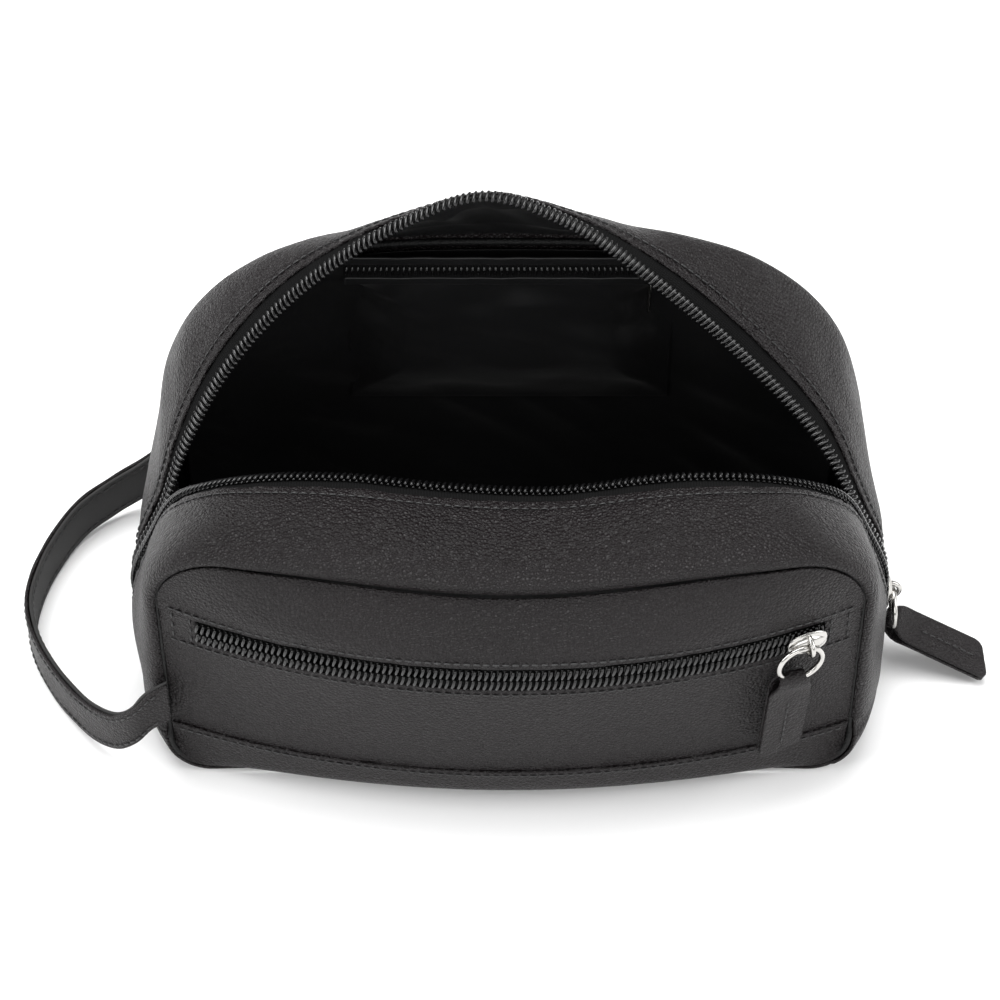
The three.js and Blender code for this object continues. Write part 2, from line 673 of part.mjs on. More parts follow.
const baseSurface = {
  at(u, v) {
    const from = frontFoot.at(u);
    const to = backFoot.at(u);
    const along = frontFoot.at(Math.min(1, u + 0.008)).sub(frontFoot.at(Math.max(0, u - 0.008)));
    const outward = new THREE.Vector3(along.z, 0, -along.x).normalize();
    const sideways = Math.abs(outward.x) ** 3;
    const bulge = SIDE_BULGE * sideways * (1 - (2 * v - 1) ** 4);
    return from.lerp(to, v).addScaledVector(outward, BOTTOM_SEAM_Z + bulge);
  },
  facing(u, v) {
    const along = this.at(Math.min(1, u + 0.01), v).sub(this.at(Math.max(0, u - 0.01), v));
    const across = this.at(u, Math.min(1, v + 0.02)).sub(this.at(u, Math.max(0, v - 0.02)));
    const normal = across.cross(along).normalize();
    if (u < 0.005 || u > 0.995) normal.setZ(0).normalize();
    return normal;
  },
};

const BOARD = 1.6;

function base() {
  const strip = (us, vs, top, thickness) => sheet({
    at: (u, v) => baseSurface.at(u, v),
    facing: (u, v) => baseSurface.facing(u, v),
    us,
    vs: () => vs,
    top,
    bottom: top - thickness,
  });
  const across = [0, 0.04, 0.12, 0.3, 0.5, 0.7, 0.88, 0.96, 1];
  const turned = (count) => steps(-1, 1, count).map((k) => 0.5 + 0.5 * Math.sign(k) * Math.abs(k) ** 0.6);
  add("base_strip", strip(turned(34), across, 0, LEATHER), leather());
  const board = new THREE.BoxGeometry(180, 88, BOARD).translate(0, 2, LEATHER + GAP + BOARD / 2);
  add("base_board", board, fibreboard());
  const liningTop = -LEATHER - BOARD - 2 * GAP;
  const inside = [0.06, 0.2, 0.4, 0.6, 0.8, 0.94];
  add("lining_base", strip(turned(26).map((u) => lerp(0.01, 0.99, u)), inside, liningTop, LINING), nylon());
}

// The main zip is closed for a short way at each side.
function zipEnds() {
  const height = CLOSED_TOP - SEAM_START - GAP;
  const width = 2 * COIL_WIDTH + COIL_GAP;
  for (const [name, side] of [["left", -1], ["right", 1]]) {
    const end = new THREE.BoxGeometry(COIL_HEIGHT - GAP, width, height);
    end.translate((LIP_X + GAP / 2) * side, ZIP_Y, SEAM_START + GAP + height / 2);
    add("main_zip_end_" + name, end, coilPlastic());
  }
}

// ---- Zipped pocket sewn to the back lining ----
function innerPocket() {
  const width = 2 * INNER_POCKET_HALF_WIDTH;
  const low = INNER_ZIP_Z - INNER_ZIP_HEIGHT / 2;
  const panelHeight = low - GAP - INNER_POCKET_BOTTOM;
  const panel = new THREE.BoxGeometry(width, LINING, panelHeight);
  panel.translate(0, INNER_POCKET_Y, INNER_POCKET_BOTTOM + panelHeight / 2);
  add("inner_pocket_panel", panel, nylon());
  const tape = new THREE.BoxGeometry(width, TAPE, INNER_ZIP_HEIGHT);
  tape.translate(0, INNER_POCKET_Y, INNER_ZIP_Z);
  add("inner_pocket_zip_tape", tape, tapeCloth());
  const coil = new THREE.BoxGeometry(width, 1.6, 5);
  coil.translate(0, INNER_POCKET_Y + TAPE / 2 + GAP + 0.8, INNER_ZIP_Z);
  add("inner_pocket_zip_coil", coil, coilPlastic());
  const slider = new THREE.BoxGeometry(9, 1.6, 7);
  slider.translate(INNER_POCKET_HALF_WIDTH - 9, INNER_POCKET_Y - TAPE / 2 - GAP - 0.8, INNER_ZIP_Z);
  const shape = new THREE.Shape();
  shape.absarc(0, 0, 2.2, 0, Math.PI);
  shape.lineTo(-2.2, -16);
  shape.lineTo(2.2, -16);
  const tag = new THREE.ExtrudeGeometry(shape, { depth: 1.4, bevelEnabled: false, curveSegments: 4 });
  tag.rotateX(Math.PI / 2).translate(INNER_POCKET_HALF_WIDTH - 9, INNER_POCKET_Y - 2, INNER_ZIP_Z);
  add("inner_pocket_slider", joined(slider, tag), nickel());
}

// ---- Wrist strap: two layers of leather on edge, sewn into the left seams and lying in a loop ----
const STRAP_ROUTE = [
  [-121.5, -58.6, 32], [-127, -59.5, 25.5], [-134, -56, 18], [-144, -46.5, 12.5], [-157, -29, 9.4],
  [-166, -12, 9.2], [-169.5, 3, 9.2], [-168, 18, 9.2], [-162.5, 35, 9.3], [-155, 48, 10.2],
  [-144, 57.5, 12], [-134, 62.5, 15.5], [-127.5, 64, 20.5], [-123, 64.2, 26],
];

function strap() {
  const knots = STRAP_ROUTE.map((p) => new THREE.Vector3(...p));
  const curve = new THREE.CatmullRomCurve3(knots, false, "centripetal");
  const route = sampledCurve(curve.getPoints(200));
  const outward = (u) => {
    const along = route.at(u + 0.01).sub(route.at(u - 0.01));
    const across = new THREE.Vector3(-along.y, along.x, 0).normalize();
    return along.y > 0 ? across : across.negate();
  };
  const layer = (top) => sheet({
    at: (u, v) => route.at(u).add(new THREE.Vector3(0, 0, (v - 0.5) * STRAP_WIDTH)),
    facing: outward,
    us: steps(0, 1, 40),
    vs: () => [0, 1],
    top,
    bottom: top - STRAP_LAYER,
  });
  add("wrist_strap", layer(GAP / 2 + STRAP_LAYER), leather());
  add("wrist_strap_backing", layer(-GAP / 2), leather());
}

// ---- Assembly ----
const frontWall = new THREE.Group();
bag.add(frontWall);
gussetHalf("front", frontGusset, frontLip, frontWall);
frontPanels(frontWall);
pocketZip(frontWall);
gussetHalf("back", backGusset, backLip, bag);
backPanel();
base();
zipEnds();
innerPocket();
pocketPuller();
mainPuller();
strap();

export default bag;
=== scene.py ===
import math

import bmesh
import bpy
import numpy as np
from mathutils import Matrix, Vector


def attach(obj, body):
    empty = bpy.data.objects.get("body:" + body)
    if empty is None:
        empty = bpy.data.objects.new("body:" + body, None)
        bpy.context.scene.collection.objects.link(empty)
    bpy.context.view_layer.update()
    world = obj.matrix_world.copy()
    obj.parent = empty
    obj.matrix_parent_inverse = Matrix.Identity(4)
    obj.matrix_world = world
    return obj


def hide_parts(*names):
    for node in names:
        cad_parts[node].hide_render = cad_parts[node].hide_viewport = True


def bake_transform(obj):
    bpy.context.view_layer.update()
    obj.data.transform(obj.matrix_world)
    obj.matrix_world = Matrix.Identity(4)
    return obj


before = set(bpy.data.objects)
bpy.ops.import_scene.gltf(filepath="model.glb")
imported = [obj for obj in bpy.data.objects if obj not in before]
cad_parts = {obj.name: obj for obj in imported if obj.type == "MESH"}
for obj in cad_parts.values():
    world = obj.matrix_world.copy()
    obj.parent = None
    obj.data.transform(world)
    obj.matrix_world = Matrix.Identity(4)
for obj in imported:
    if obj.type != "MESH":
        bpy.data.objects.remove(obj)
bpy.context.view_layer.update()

# ---- Camera, floor and lights ----
# A long lens looks down on the bag from the front, over a plain pale floor,
# with large soft lights above, in front and to each side, and a white surround.
camera = bpy.data.objects.new("camera", bpy.data.cameras.new("camera"))
bpy.context.collection.objects.link(camera)
camera.data.lens = 116.8
camera.data.sensor_width = 36
camera.data.clip_start = 0.01
camera.location = (-0.0034, -0.736, 0.8905)
looking = Vector((-0.0034, 0, 0.073)) - camera.location
camera.rotation_euler = looking.to_track_quat("-Z", "Y").to_euler()
bpy.context.scene.camera = camera


def node_material(name):
    material = bpy.data.materials.new(name)
    material.use_nodes = True
    tree = material.node_tree
    return material, tree, tree.nodes["Principled BSDF"]


def feed(tree, node, inputs):
    """Sets each input, by name or number, to a value, or links it to another node's socket."""
    for key, value in inputs.items():
        if isinstance(value, bpy.types.NodeSocket):
            tree.links.new(value, node.inputs[key])
        else:
            node.inputs[key].default_value = value


def add(tree, kind, inputs, **settings):
    """A new node with these settings and inputs."""
    node = tree.nodes.new(kind)
    for key, value in settings.items():
        setattr(node, key, value)
    feed(tree, node, inputs)
    return node


def ramp(tree, factor, dark, light):
    """The colour of a ramp from dark to light."""
    node = add(tree, "ShaderNodeValToRGB", {"Fac": factor})
    for element, colour in zip(node.color_ramp.elements, (dark, light)):
        element.color = (*colour, 1)
    return node.outputs["Color"]


def object_with(name, mesh):
    made = bpy.data.objects.new(name, mesh)
    bpy.context.collection.objects.link(made)
    return made


floor_mesh = bpy.data.meshes.new("floor")
floor_mesh.from_pydata([(-6, -6, 0), (6, -6, 0), (6, 6, 0), (-6, 6, 0)], [], [(0, 1, 2, 3)])
floor = object_with("floor", floor_mesh)
floor_finish, _, floor_shader = node_material("pale_floor")
floor_shader.inputs["Base Color"].default_value = (0.93, 0.93, 0.93, 1)
floor_shader.inputs["Roughness"].default_value = 0.8
floor_mesh.materials.append(floor_finish)
floor.location.z = -0.0004


def area_light(name, place, width, height, power):
    light = bpy.data.lights.new(name, "AREA")
    light.shape = "RECTANGLE"
    light.size = width
    light.size_y = height
    light.energy = power
    lamp = bpy.data.objects.new(name, light)
    bpy.context.collection.objects.link(lamp)
    lamp.location = place
    lamp.rotation_euler = (Vector((0, 0, 0.08)) - Vector(place)).to_track_quat("-Z", "Y").to_euler()


area_light("soft_top", (-0.15, 0.35, 1.5), 1.5, 1.0, 34)
area_light("soft_left", (-1.3, -0.5, 0.8), 0.9, 1.2, 13)
area_light("soft_right", (1.3, -0.3, 0.8), 0.9, 1.2, 12)
area_light("soft_front", (0.1, -1.5, 0.75), 1.4, 0.8, 9)
world = bpy.data.worlds.new("surround")
world.use_nodes = True
world.node_tree.nodes["Background"].inputs["Color"].default_value = (1, 1, 1, 1)
world.node_tree.nodes["Background"].inputs["Strength"].default_value = 0.45
bpy.context.scene.world = world
bpy.context.scene.view_settings.view_transform = "Standard"

# ---- Front face: upper and lower panel ----
# Pebble-grained leather with rolled edges, bowed round a wide radius in plan.
# The panels meet the zip window between them, each turned edge held by a row of stitches.
MM = 0.001
LEATHER = 1.3
FRONT_HALF = 115.5
FRONT_REACH = 80
FRONT_BOW = 270
BACK_HALF = 119
BOTTOM_SEAM = 1.6
FOOT_CORNER = 14
TOP_CORNER = 24
BAND_HEIGHT = 22
ZIP_HEIGHT = 75
WINDOW = 11
FACE_COLUMNS = 230


def bottom_edge(x, half):
    past = np.maximum(0, np.abs(x) - (half - FOOT_CORNER))
    return BOTTOM_SEAM + FOOT_CORNER - np.sqrt(np.maximum(0, FOOT_CORNER ** 2 - past ** 2))


def front_top(x):
    past = np.maximum(0, np.abs(x) - (FRONT_HALF - TOP_CORNER))
    rise = 5 * np.sin(np.pi / 2 * np.minimum(1, np.abs(x) / 80)) ** 2
    return 101 + rise - TOP_CORNER + np.sqrt(np.maximum(0, TOP_CORNER ** 2 - past ** 2))


def back_top(x):
    inside = np.maximum(0, 1 - np.abs(x / BACK_HALF) ** 3.5)
    return 60 + 78 * inside ** (1 / 1.9)


def uniform_spline(knots, count=400):
    """A smooth curve through the knots, sampled evenly in its own parameter."""
    knots = np.array(knots, float)
    t = np.linspace(0, len(knots) - 1, count)
    i = np.minimum(t.astype(int), len(knots) - 2)
    w = (t - i)[:, None]
    p = [knots[np.clip(i + k, 0, len(knots) - 1)] for k in (-1, 0, 1, 2)]
    slope1, slope2 = (p[2] - p[0]) / 2, (p[3] - p[1]) / 2
    return (
        (2 * p[1] - 2 * p[2] + slope1 + slope2) * w ** 3
        + (-3 * p[1] + 3 * p[2] - 2 * slope1 - slope2) * w ** 2
        + slope1 * w
        + p[1]
    )


def share_of_bow(knots):
    curve = uniform_spline(knots)
    return lambda share: np.interp(share, curve[:, 0], curve[:, 1])


front_share = share_of_bow([
    (0, -0.08), (0.03, 0.48), (0.08, 0.74), (0.2, 0.85), (0.42, 0.94),
    (0.62, 1), (0.72, 1), (0.82, 1), (0.93, 0.74), (1, 0.47),
])
back_share = share_of_bow([
    (0, -0.6), (0.04, 0.3), (0.12, 0.8), (0.3, 1), (0.6, 1), (0.85, 0.6), (1, 0.25),
])


def bow_at(x):
    return FRONT_BOW - np.sqrt(FRONT_BOW ** 2 - x ** 2)


def front_y(x, z):
    inside = np.minimum(np.abs(x), FRONT_HALF)
    low = bottom_edge(inside, FRONT_HALF)
    share = front_share((z - low) / (front_top(inside) - low))
    side = bow_at(FRONT_HALF) - FRONT_REACH - 5 * np.maximum(0, 1 - z / 55)
    return side - (side + FRONT_REACH - bow_at(inside)) * share


def back_y(x, z):
    inside = np.minimum(np.abs(x), BACK_HALF)
    low = bottom_edge(inside, BACK_HALF)
    share = back_share((z - low) / (back_top(inside) - low))
    return 58 + 8 * (1 - (inside / BACK_HALF) ** 2) * share


def unit(vectors):
    return vectors / np.maximum(1e-9, np.linalg.norm(vectors, axis=-1, keepdims=True))


def normals_of(grid):
    """Normals of a grid of points, pointing to the left of its second direction."""
    return unit(np.cross(np.gradient(grid, axis=0), np.gradient(grid, axis=1)))


def face_grid(depth, side, half, low, high, columns, rows):
    k = np.linspace(-1, 1, columns)
    x = half * np.sin(k * np.pi / 2)
    x = 0.5 * x + 0.5 * half * k
    t = np.linspace(0, 1, rows)
    z = low(x)[:, None] * (1 - t) + high(x)[:, None] * t
    xx = np.repeat(x[:, None], rows, axis=1)
    grid = np.stack([xx, depth(xx, z), z], axis=-1)
    return grid, normals_of(grid) * (-side)


def along_rows(grid):
    """Distance run across the grid from its first column, row by row."""
    steps = np.linalg.norm(np.diff(grid, axis=1), axis=2)
    return np.concatenate([np.zeros((len(grid), 1)), np.cumsum(steps, axis=1)], axis=1)


def at_distances(grid, run, wanted):
    """Values of the grid at wanted distances (one row of them for each row of the grid)."""
    out = np.empty(wanted.shape + (grid.shape[2],))
    for i in range(len(grid)):
        for c in range(grid.shape[2]):
            out[i, :, c] = np.interp(wanted[i], run[i], grid[i, :, c])
    return out


def turned(normals, way):
    """The normals, turned round if the one in the middle points against `way`."""
    middle = normals[normals.shape[0] // 2, normals.shape[1] // 2]
    return -normals if middle @ np.array(way, float) < 0 else normals


def ripple(p, size, seed):
    """Smooth unevenness between -1 and 1, about `size` millimetres from swell to swell."""
    rng = np.random.default_rng(seed)
    total = np.zeros(p.shape[:-1])
    for _ in range(7):
        way = unit(rng.normal(size=3))
        total += np.sin(p @ way * (2 * np.pi / (size * rng.uniform(0.7, 1.6))) + rng.uniform(0, 6.28))
    return total / 4


def mesh_piece(name, vertices, faces, material, uv):
    mesh = bpy.data.meshes.new(name)
    mesh.from_pydata((np.asarray(vertices) * MM).tolist(), [], np.asarray(faces).tolist())
    mesh.materials.append(material)
    mesh.polygons.foreach_set("use_smooth", [True] * len(mesh.polygons))
    layer = mesh.uv_layers.new(name="UVMap")
    index = np.empty(len(mesh.loops), int)
    mesh.loops.foreach_get("vertex_index", index)
    layer.data.foreach_set("uv", (np.asarray(uv)[index] * MM).ravel())
    mesh.update()
    return object_with(name, mesh)


def closed_piece(name, vertices, faces, material):
    """A smooth mesh of faces with any number of corners, all turned outwards."""
    mesh = bpy.data.meshes.new(name)
    mesh.from_pydata((np.asarray(vertices) * MM).tolist(), [], faces)
    mesh.materials.append(material)
    mesh.polygons.foreach_set("use_smooth", [True] * len(mesh.polygons))
    shape = bmesh.new()
    shape.from_mesh(mesh)
    bmesh.ops.remove_doubles(shape, verts=shape.verts, dist=1e-7)
    bmesh.ops.recalc_face_normals(shape, faces=shape.faces)
    shape.to_mesh(mesh)
    shape.free()
    return object_with(name, mesh)


def ring_faces(rings, sides, closed=False):
    """Faces over a stack of rings of points, with a cap at each end unless it closes on itself."""
    index = np.arange(rings * sides).reshape(rings, sides)
    a, b = (index, np.roll(index, -1, 0)) if closed else (index[:-1], index[1:])
    faces = np.stack([a, np.roll(a, -1, 1), np.roll(b, -1, 1), b], axis=-1).reshape(-1, 4).tolist()
    return faces if closed else faces + [index[0][::-1].tolist(), index[-1].tolist()]


def tube(path, radius, sides, closed=False, up=(0, 0, 1), squash=1.0):
    """Points and faces of a tube along a path, with one radius or one for each point."""
    path = np.array(path, float)
    if closed:
        along = unit(np.roll(path, -1, 0) - np.roll(path, 1, 0))
    else:
        along = unit(np.gradient(path, axis=0))
    side = unit(np.cross(along, np.array(up, float)))
    lift = np.cross(side, along)
    turn = np.linspace(0, 2 * np.pi, sides, endpoint=False)[None, :, None]
    r = np.broadcast_to(np.array(radius, float), len(path))[:, None, None]
    ring = path[:, None] + r * (np.cos(turn) * side[:, None] + squash * np.sin(turn) * lift[:, None])
    return ring.reshape(-1, 3), ring_faces(len(path), sides, closed)


def shell(name, grid, normals, thick, material, top=0, edge=0.55, across=None, relief=None):
    """A sheet of one thickness over a grid, with rounded long edges and closed ends."""
    run = along_rows(grid)
    length = run[:, -1:]
    count = across or grid.shape[1]
    corner = np.array([0, 0.12, 0.45, 1]) * edge
    middle = np.linspace(0, 1, count)[1:-1]
    inner = edge + middle * (length - 2 * edge)
    wanted = np.concatenate([np.repeat(corner[None], len(grid), 0), inner, length - corner[::-1]], axis=1)
    points = at_distances(grid, run, wanted)
    ways = unit(at_distances(normals, run, wanted))
    if relief is not None:
        points = points + ways * relief(points, wanted, length)[..., None]
    from_edge = np.minimum(np.minimum(wanted, length - wanted), edge)
    drop = edge - np.sqrt(np.maximum(0, edge ** 2 - (edge - from_edge) ** 2))
    drop = np.minimum(drop, thick * 0.48)[..., None]
    upper = points + ways * (top - drop)
    lower = points + ways * (top - thick + drop)
    ring = np.concatenate([upper, lower[:, ::-1]], axis=1)
    n, m = ring.shape[:2]
    index = np.arange(n * m).reshape(n, m)
    a, b = index[:-1], index[1:]
    quads = np.stack([a, b, np.roll(b, -1, 1), np.roll(a, -1, 1)], axis=-1).reshape(-1, 4)
    half = m // 2
    lid = np.arange(half - 1)
    first = np.stack([index[0, lid], index[0, lid + 1], index[0, m - 2 - lid], index[0, m - 1 - lid]], -1)
    last = np.stack([index[-1, lid + 1], index[-1, lid], index[-1, m - 1 - lid], index[-1, m - 2 - lid]], -1)
    faces = np.concatenate([quads, first, last])
    step = np.linalg.norm(np.diff(points[:, points.shape[1] // 2], axis=0), axis=1)
    u = np.concatenate([[0], np.cumsum(step)])
    u = np.repeat(u[:, None], m, 1)
    v = np.concatenate([wanted, wanted[:, ::-1]], axis=1)
    flat = ring.reshape(-1, 3)
    a, b, c, d = (flat[faces[:, k]] for k in range(4))
    volume = (np.cross(b - a, c - a) * a).sum() + (np.cross(c - a, d - a) * a).sum()
    if volume < 0:
        faces = faces[:, ::-1]
    return mesh_piece(name, flat, faces, material, uv=np.stack([u, v], -1).reshape(-1, 2))


def pebble_group():
    """Leather's pebbles: a height and a crease mask from object coordinates."""
    group = bpy.data.node_groups.new("pebble_grain", "ShaderNodeTree")
    for name, way in (("Cells", "INPUT"), ("Height", "OUTPUT"), ("Crease", "OUTPUT")):
        group.interface.new_socket(name, in_out=way, socket_type="NodeSocketFloat")
    cells = group.nodes.new("NodeGroupInput").outputs["Cells"]
    place = group.nodes.new("ShaderNodeTexCoord").outputs["Object"]
    warp = add(group, "ShaderNodeTexNoise", {"Vector": place, "Scale": 420, "Detail": 2})
    shift = add(group, "ShaderNodeVectorMath", {
        0: warp.outputs["Color"], 1: (0.0013, 0.0013, 0.0013), 2: place,
    }, operation="MULTIPLY_ADD")
    warped = {"Vector": shift.outputs["Vector"], "Scale": cells}
    edge = add(group, "ShaderNodeTexVoronoi", warped, feature="DISTANCE_TO_EDGE")
    dome = add(group, "ShaderNodeTexVoronoi", {**warped, "Smoothness": 0.35}, feature="SMOOTH_F1")
    crease = add(group, "ShaderNodeMapRange", {"From Max": 0.22, "Value": edge.outputs["Distance"]},
                 interpolation_type="SMOOTHSTEP").outputs["Result"]
    fine = add(group, "ShaderNodeTexNoise", {"Vector": place, "Scale": 2600, "Detail": 3})
    groove_depth = add(group, "ShaderNodeMath", {0: crease, 1: 0.45}, operation="MULTIPLY")
    rounded = add(group, "ShaderNodeMath", {
        0: dome.outputs["Distance"], 1: -1.1, 2: groove_depth.outputs["Value"],
    }, operation="MULTIPLY_ADD")
    total = add(group, "ShaderNodeMath", {
        0: fine.outputs["Fac"], 1: 0.16, 2: rounded.outputs["Value"],
    }, operation="MULTIPLY_ADD")
    add(group, "NodeGroupOutput", {"Height": total.outputs["Value"], "Crease": crease})
    return group


pebbles = pebble_group()


def leather_finish(name, cells, colour, roughness, depth):
    material, tree, shader = node_material(name)
    grain = add(tree, "ShaderNodeGroup", {"Cells": cells}, node_tree=pebbles)
    place = tree.nodes.new("ShaderNodeTexCoord").outputs["Object"]
    patches = add(tree, "ShaderNodeTexNoise", {"Vector": place, "Scale": 26, "Detail": 4})
    shades = add(tree, "ShaderNodeMix", {
        "A": (*[c * 0.72 for c in colour], 1), "B": (*[c * 1.3 for c in colour], 1),
        "Factor": patches.outputs["Fac"],
    }, data_type="RGBA")
    # Painted shade: the base colour is multiplied down by about a third in the grain's creases, where the crease
    # mask is low.
    crease_shaded = add(tree, "ShaderNodeMix", {
        "Factor": 0.35, "A": shades.outputs["Result"], "B": grain.outputs["Crease"],
    }, data_type="RGBA", blend_type="MULTIPLY")
    gloss = add(tree, "ShaderNodeMapRange", {
        "To Min": roughness + 0.1, "To Max": roughness, "Value": grain.outputs["Crease"],
    })
    bump = add(tree, "ShaderNodeBump", {
        "Strength": 0.75, "Distance": depth, "Height": grain.outputs["Height"],
    })
    feed(tree, shader, {
        "Base Color": crease_shaded.outputs["Result"], "Roughness": gloss.outputs["Result"],
        "Normal": bump.outputs["Normal"], "Specular IOR Level": 0.26,
    })
    return material


leather = leather_finish("black_leather", 860, (0.006, 0.004, 0.0046), 0.38, 0.0007)


def on_front_wall(piece, slot, *nodes):
    if nodes:
        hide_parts(*nodes)
    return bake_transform(piece)


def on_body(piece, slot, *nodes):
    if nodes:
        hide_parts(*nodes)
    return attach(piece, "bag_body")


panel_half = FRONT_HALF - 0.5
window_low = ZIP_HEIGHT - WINDOW / 2
window_high = ZIP_HEIGHT + WINDOW / 2


def flat_at(height):
    return lambda x: np.full_like(x, height)


def panel_relief(p, run, length):
    near_edge = np.exp(-np.minimum(run, length - run) / 5)
    pucker = 0.16 * ripple(p, 7, 3) * near_edge
    return 0.45 * ripple(p, 60, 5) * (1 - near_edge) + pucker


upper_grid, upper_out = face_grid(
    front_y, -1, panel_half, flat_at(window_high),
    lambda x: np.maximum(window_high + 1, front_top(x) - 0.6), FACE_COLUMNS, 40)
on_front_wall(shell("front_panel_upper_leather", upper_grid, upper_out, LEATHER, leather, top=0.1,
                    relief=panel_relief), "leather", "front_panel_upper")
lower_grid, lower_out = face_grid(
    front_y, -1, panel_half, flat_at(BAND_HEIGHT - 1.5), flat_at(window_low), FACE_COLUMNS, 50)
on_front_wall(shell("front_panel_lower_leather", lower_grid, lower_out, LEATHER, leather, top=-0.25,
                    relief=panel_relief), "leather", "front_panel_lower")

# ---- Bottom band of the front face ----
# A strip of the same leather lapped over the foot of the lower panel and stitched through both.
# It rolls under the bag to meet the base strip.
band_grid, band_out = face_grid(
    front_y, -1, FRONT_HALF - 1.2, lambda x: bottom_edge(x, FRONT_HALF) + 0.4,
    flat_at(BAND_HEIGHT + 0.4), FACE_COLUMNS, 36)


def lapped(p, run, length):
    return 0.55 * np.exp(-(length - run) / 6) + 0.12 * ripple(p, 9, 8) * np.exp(-(length - run) / 5)


on_body(shell("bottom_band_leather", band_grid, band_out, LEATHER, leather, top=0.15, relief=lapped),
        "leather", "front_bottom_band")

# ---- Zipped gusset: the leather half on the front wall and the one on the back ----
# Each half is one strip of leather, sewn to its face in a turned seam, rolled over the edge,
# and sewn to the zip tape along its other edge, which puckers between the stitches.
LIP_X = 129
ZIP_Y = -4
SEAM_START = 23.15
COIL_OFFSET = 2.5
TAPE_SHOWN = 6.5
PAST_COIL = 1.05


def curve_through(knots):
    """A centripetal curve through the knots."""
    p = np.array(knots, float)
    p = np.concatenate([[2 * p[0] - p[1]], p, [2 * p[-1] - p[-2]]])
    pieces = []
    for i in range(1, len(p) - 2):
        d = [max(1e-4, np.linalg.norm(p[i + k] - p[i + k - 1]) ** 0.5) for k in (0, 1, 2)]
        t1 = (p[i] - p[i - 1]) / d[0] - (p[i + 1] - p[i - 1]) / (d[0] + d[1]) + (p[i + 1] - p[i]) / d[1]
        t2 = (p[i + 1] - p[i]) / d[1] - (p[i + 2] - p[i]) / (d[1] + d[2]) + (p[i + 2] - p[i + 1]) / d[2]
        t1, t2 = t1 * d[1], t2 * d[1]
        w = np.linspace(0, 1, 60)[:, None]
        a, b = p[i], p[i + 1]
        pieces.append(a + t1 * w + (3 * (b - a) - 2 * t1 - t2) * w ** 2 + (2 * (a - b) + t1 + t2) * w ** 3)
    return np.concatenate(pieces)


def by_length(points):
    """A function giving points at shares of the curve's length."""
    run = np.concatenate([[0], np.cumsum(np.linalg.norm(np.diff(points, axis=0), axis=1))])
    keep = np.concatenate([[True], np.diff(run) > 1e-7])
    run, points = run[keep], points[keep]

    def at(u):
        wanted = np.clip(u, 0, 1) * run[-1]
        return np.stack([np.interp(wanted, run, points[:, c]) for c in range(3)], axis=-1)
    at.total = run[-1]
    return at


def top_seam(depth, half, top_of):
    x = half * np.sin(np.linspace(-1, 1, 400) * np.pi / 2)
    z = np.concatenate([np.linspace(SEAM_START, top_of(half), 30)[:-1], top_of(x),
                        np.linspace(top_of(half), SEAM_START, 30)[1:]])
    x = np.concatenate([np.full(29, -half), x, np.full(29, half)])
    return by_length(np.stack([x, depth(x, z), z], axis=-1))


def lip(knots, side):
    y = ZIP_Y + COIL_OFFSET * side
    ends = [(LIP_X, y, SEAM_START), (LIP_X, y, 30)]
    start = [(-x, b, c) for x, b, c in ends]
    points = curve_through(start + knots + ends[::-1])
    return by_length(points)


half_knots = [
    (52, -25, 111.5), (77, -22.5, 109), (99, -16, 98), (112, -10.5, 85.5), (121, -8, 66), (LIP_X, -7.3, 44),
]
mirrored_knots = [(-x, y, z) for x, y, z in half_knots[::-1]]
front_lip = lip(mirrored_knots + [(-22, -27, 109.3), (14, -27, 107.4)] + half_knots, -1)
back_lip = lip([
    (-LIP_X, -0.7, 44), (-119, 6, 63), (-110, 16, 85), (-95, 26, 111), (-70, 35, 138.5), (-37, 39.2, 163.2),
    (-8, 39.6, 176), (20, 39.2, 164.2), (50, 36, 139.5), (80, 30, 110.5), (105, 19, 84.5), (119, 6, 63),
    (LIP_X, -0.7, 44),
], 1)
front_seam = top_seam(front_y, FRONT_HALF, front_top)
back_seam = top_seam(back_y, BACK_HALF, back_top)


def gusset_grid(seam, lip_at, side, columns):
    u = np.linspace(0, 1, columns)
    along = seam(u + 0.012) - seam(u - 0.012)
    outward = unit(np.stack([-along[:, 2], np.zeros(columns), along[:, 0]], axis=-1))
    start, end = seam(u), lip_at(u)
    first = start + outward * 8.5 + np.array([0, 6.5 * side, 0])
    crown = 6 + 3 * np.abs(outward[:, 2:3]) + 4.5 * np.clip((end[:, 2:3] - 150) / 26, 0, 1)
    second = end * 0.65 + start * 0.35 + outward * crown
    v = np.linspace(0.0, PAST_COIL, 130)[None, :, None]
    w = 1 - v
    grid = (start[:, None] * w ** 3 + first[:, None] * 3 * w * w * v + second[:, None] * 3 * w * v * v
            + end[:, None] * v ** 3)
    return grid, normals_of(grid) * (-side)


def gusset_part(half, near, far, columns, count):
    """Part of a half gusset between two distances short of the middle of its coil."""
    grid, normals = half
    run = along_rows(grid)
    v = np.linspace(0, PAST_COIL, grid.shape[1])
    middle = np.array([np.interp(1, v, r) for r in run])[:, None]
    t = np.linspace(0, 1, count)[None]
    start = np.maximum(0, middle - near) if near is not None else np.zeros_like(middle)
    wanted = start * (1 - t) + (middle - far) * t
    points = at_distances(grid, run, wanted)
    return points[columns], unit(at_distances(normals, run, wanted))[columns]


COLUMNS = 520
front_half = gusset_grid(front_seam, front_lip, -1, COLUMNS)
back_half = gusset_grid(back_seam, back_lip, 1, COLUMNS)
EVERY = slice(0, COLUMNS)


def gusset_relief(seed, amount):
    def relief(p, run, length):
        from_lip = length - run
        stitch_line = np.exp(-((from_lip - 4) / 1.3) ** 2)
        pucker = -0.32 * stitch_line + 0.3 * ripple(p, 5.5, seed) * np.exp(-from_lip / 6)
        away = np.clip(run / 12, 0, 1) * np.clip(from_lip / 14, 0, 1)
        return pucker + away * amount * (ripple(p, 55, seed + 1) + 0.35 * ripple(p, 22, seed + 2))
    return relief


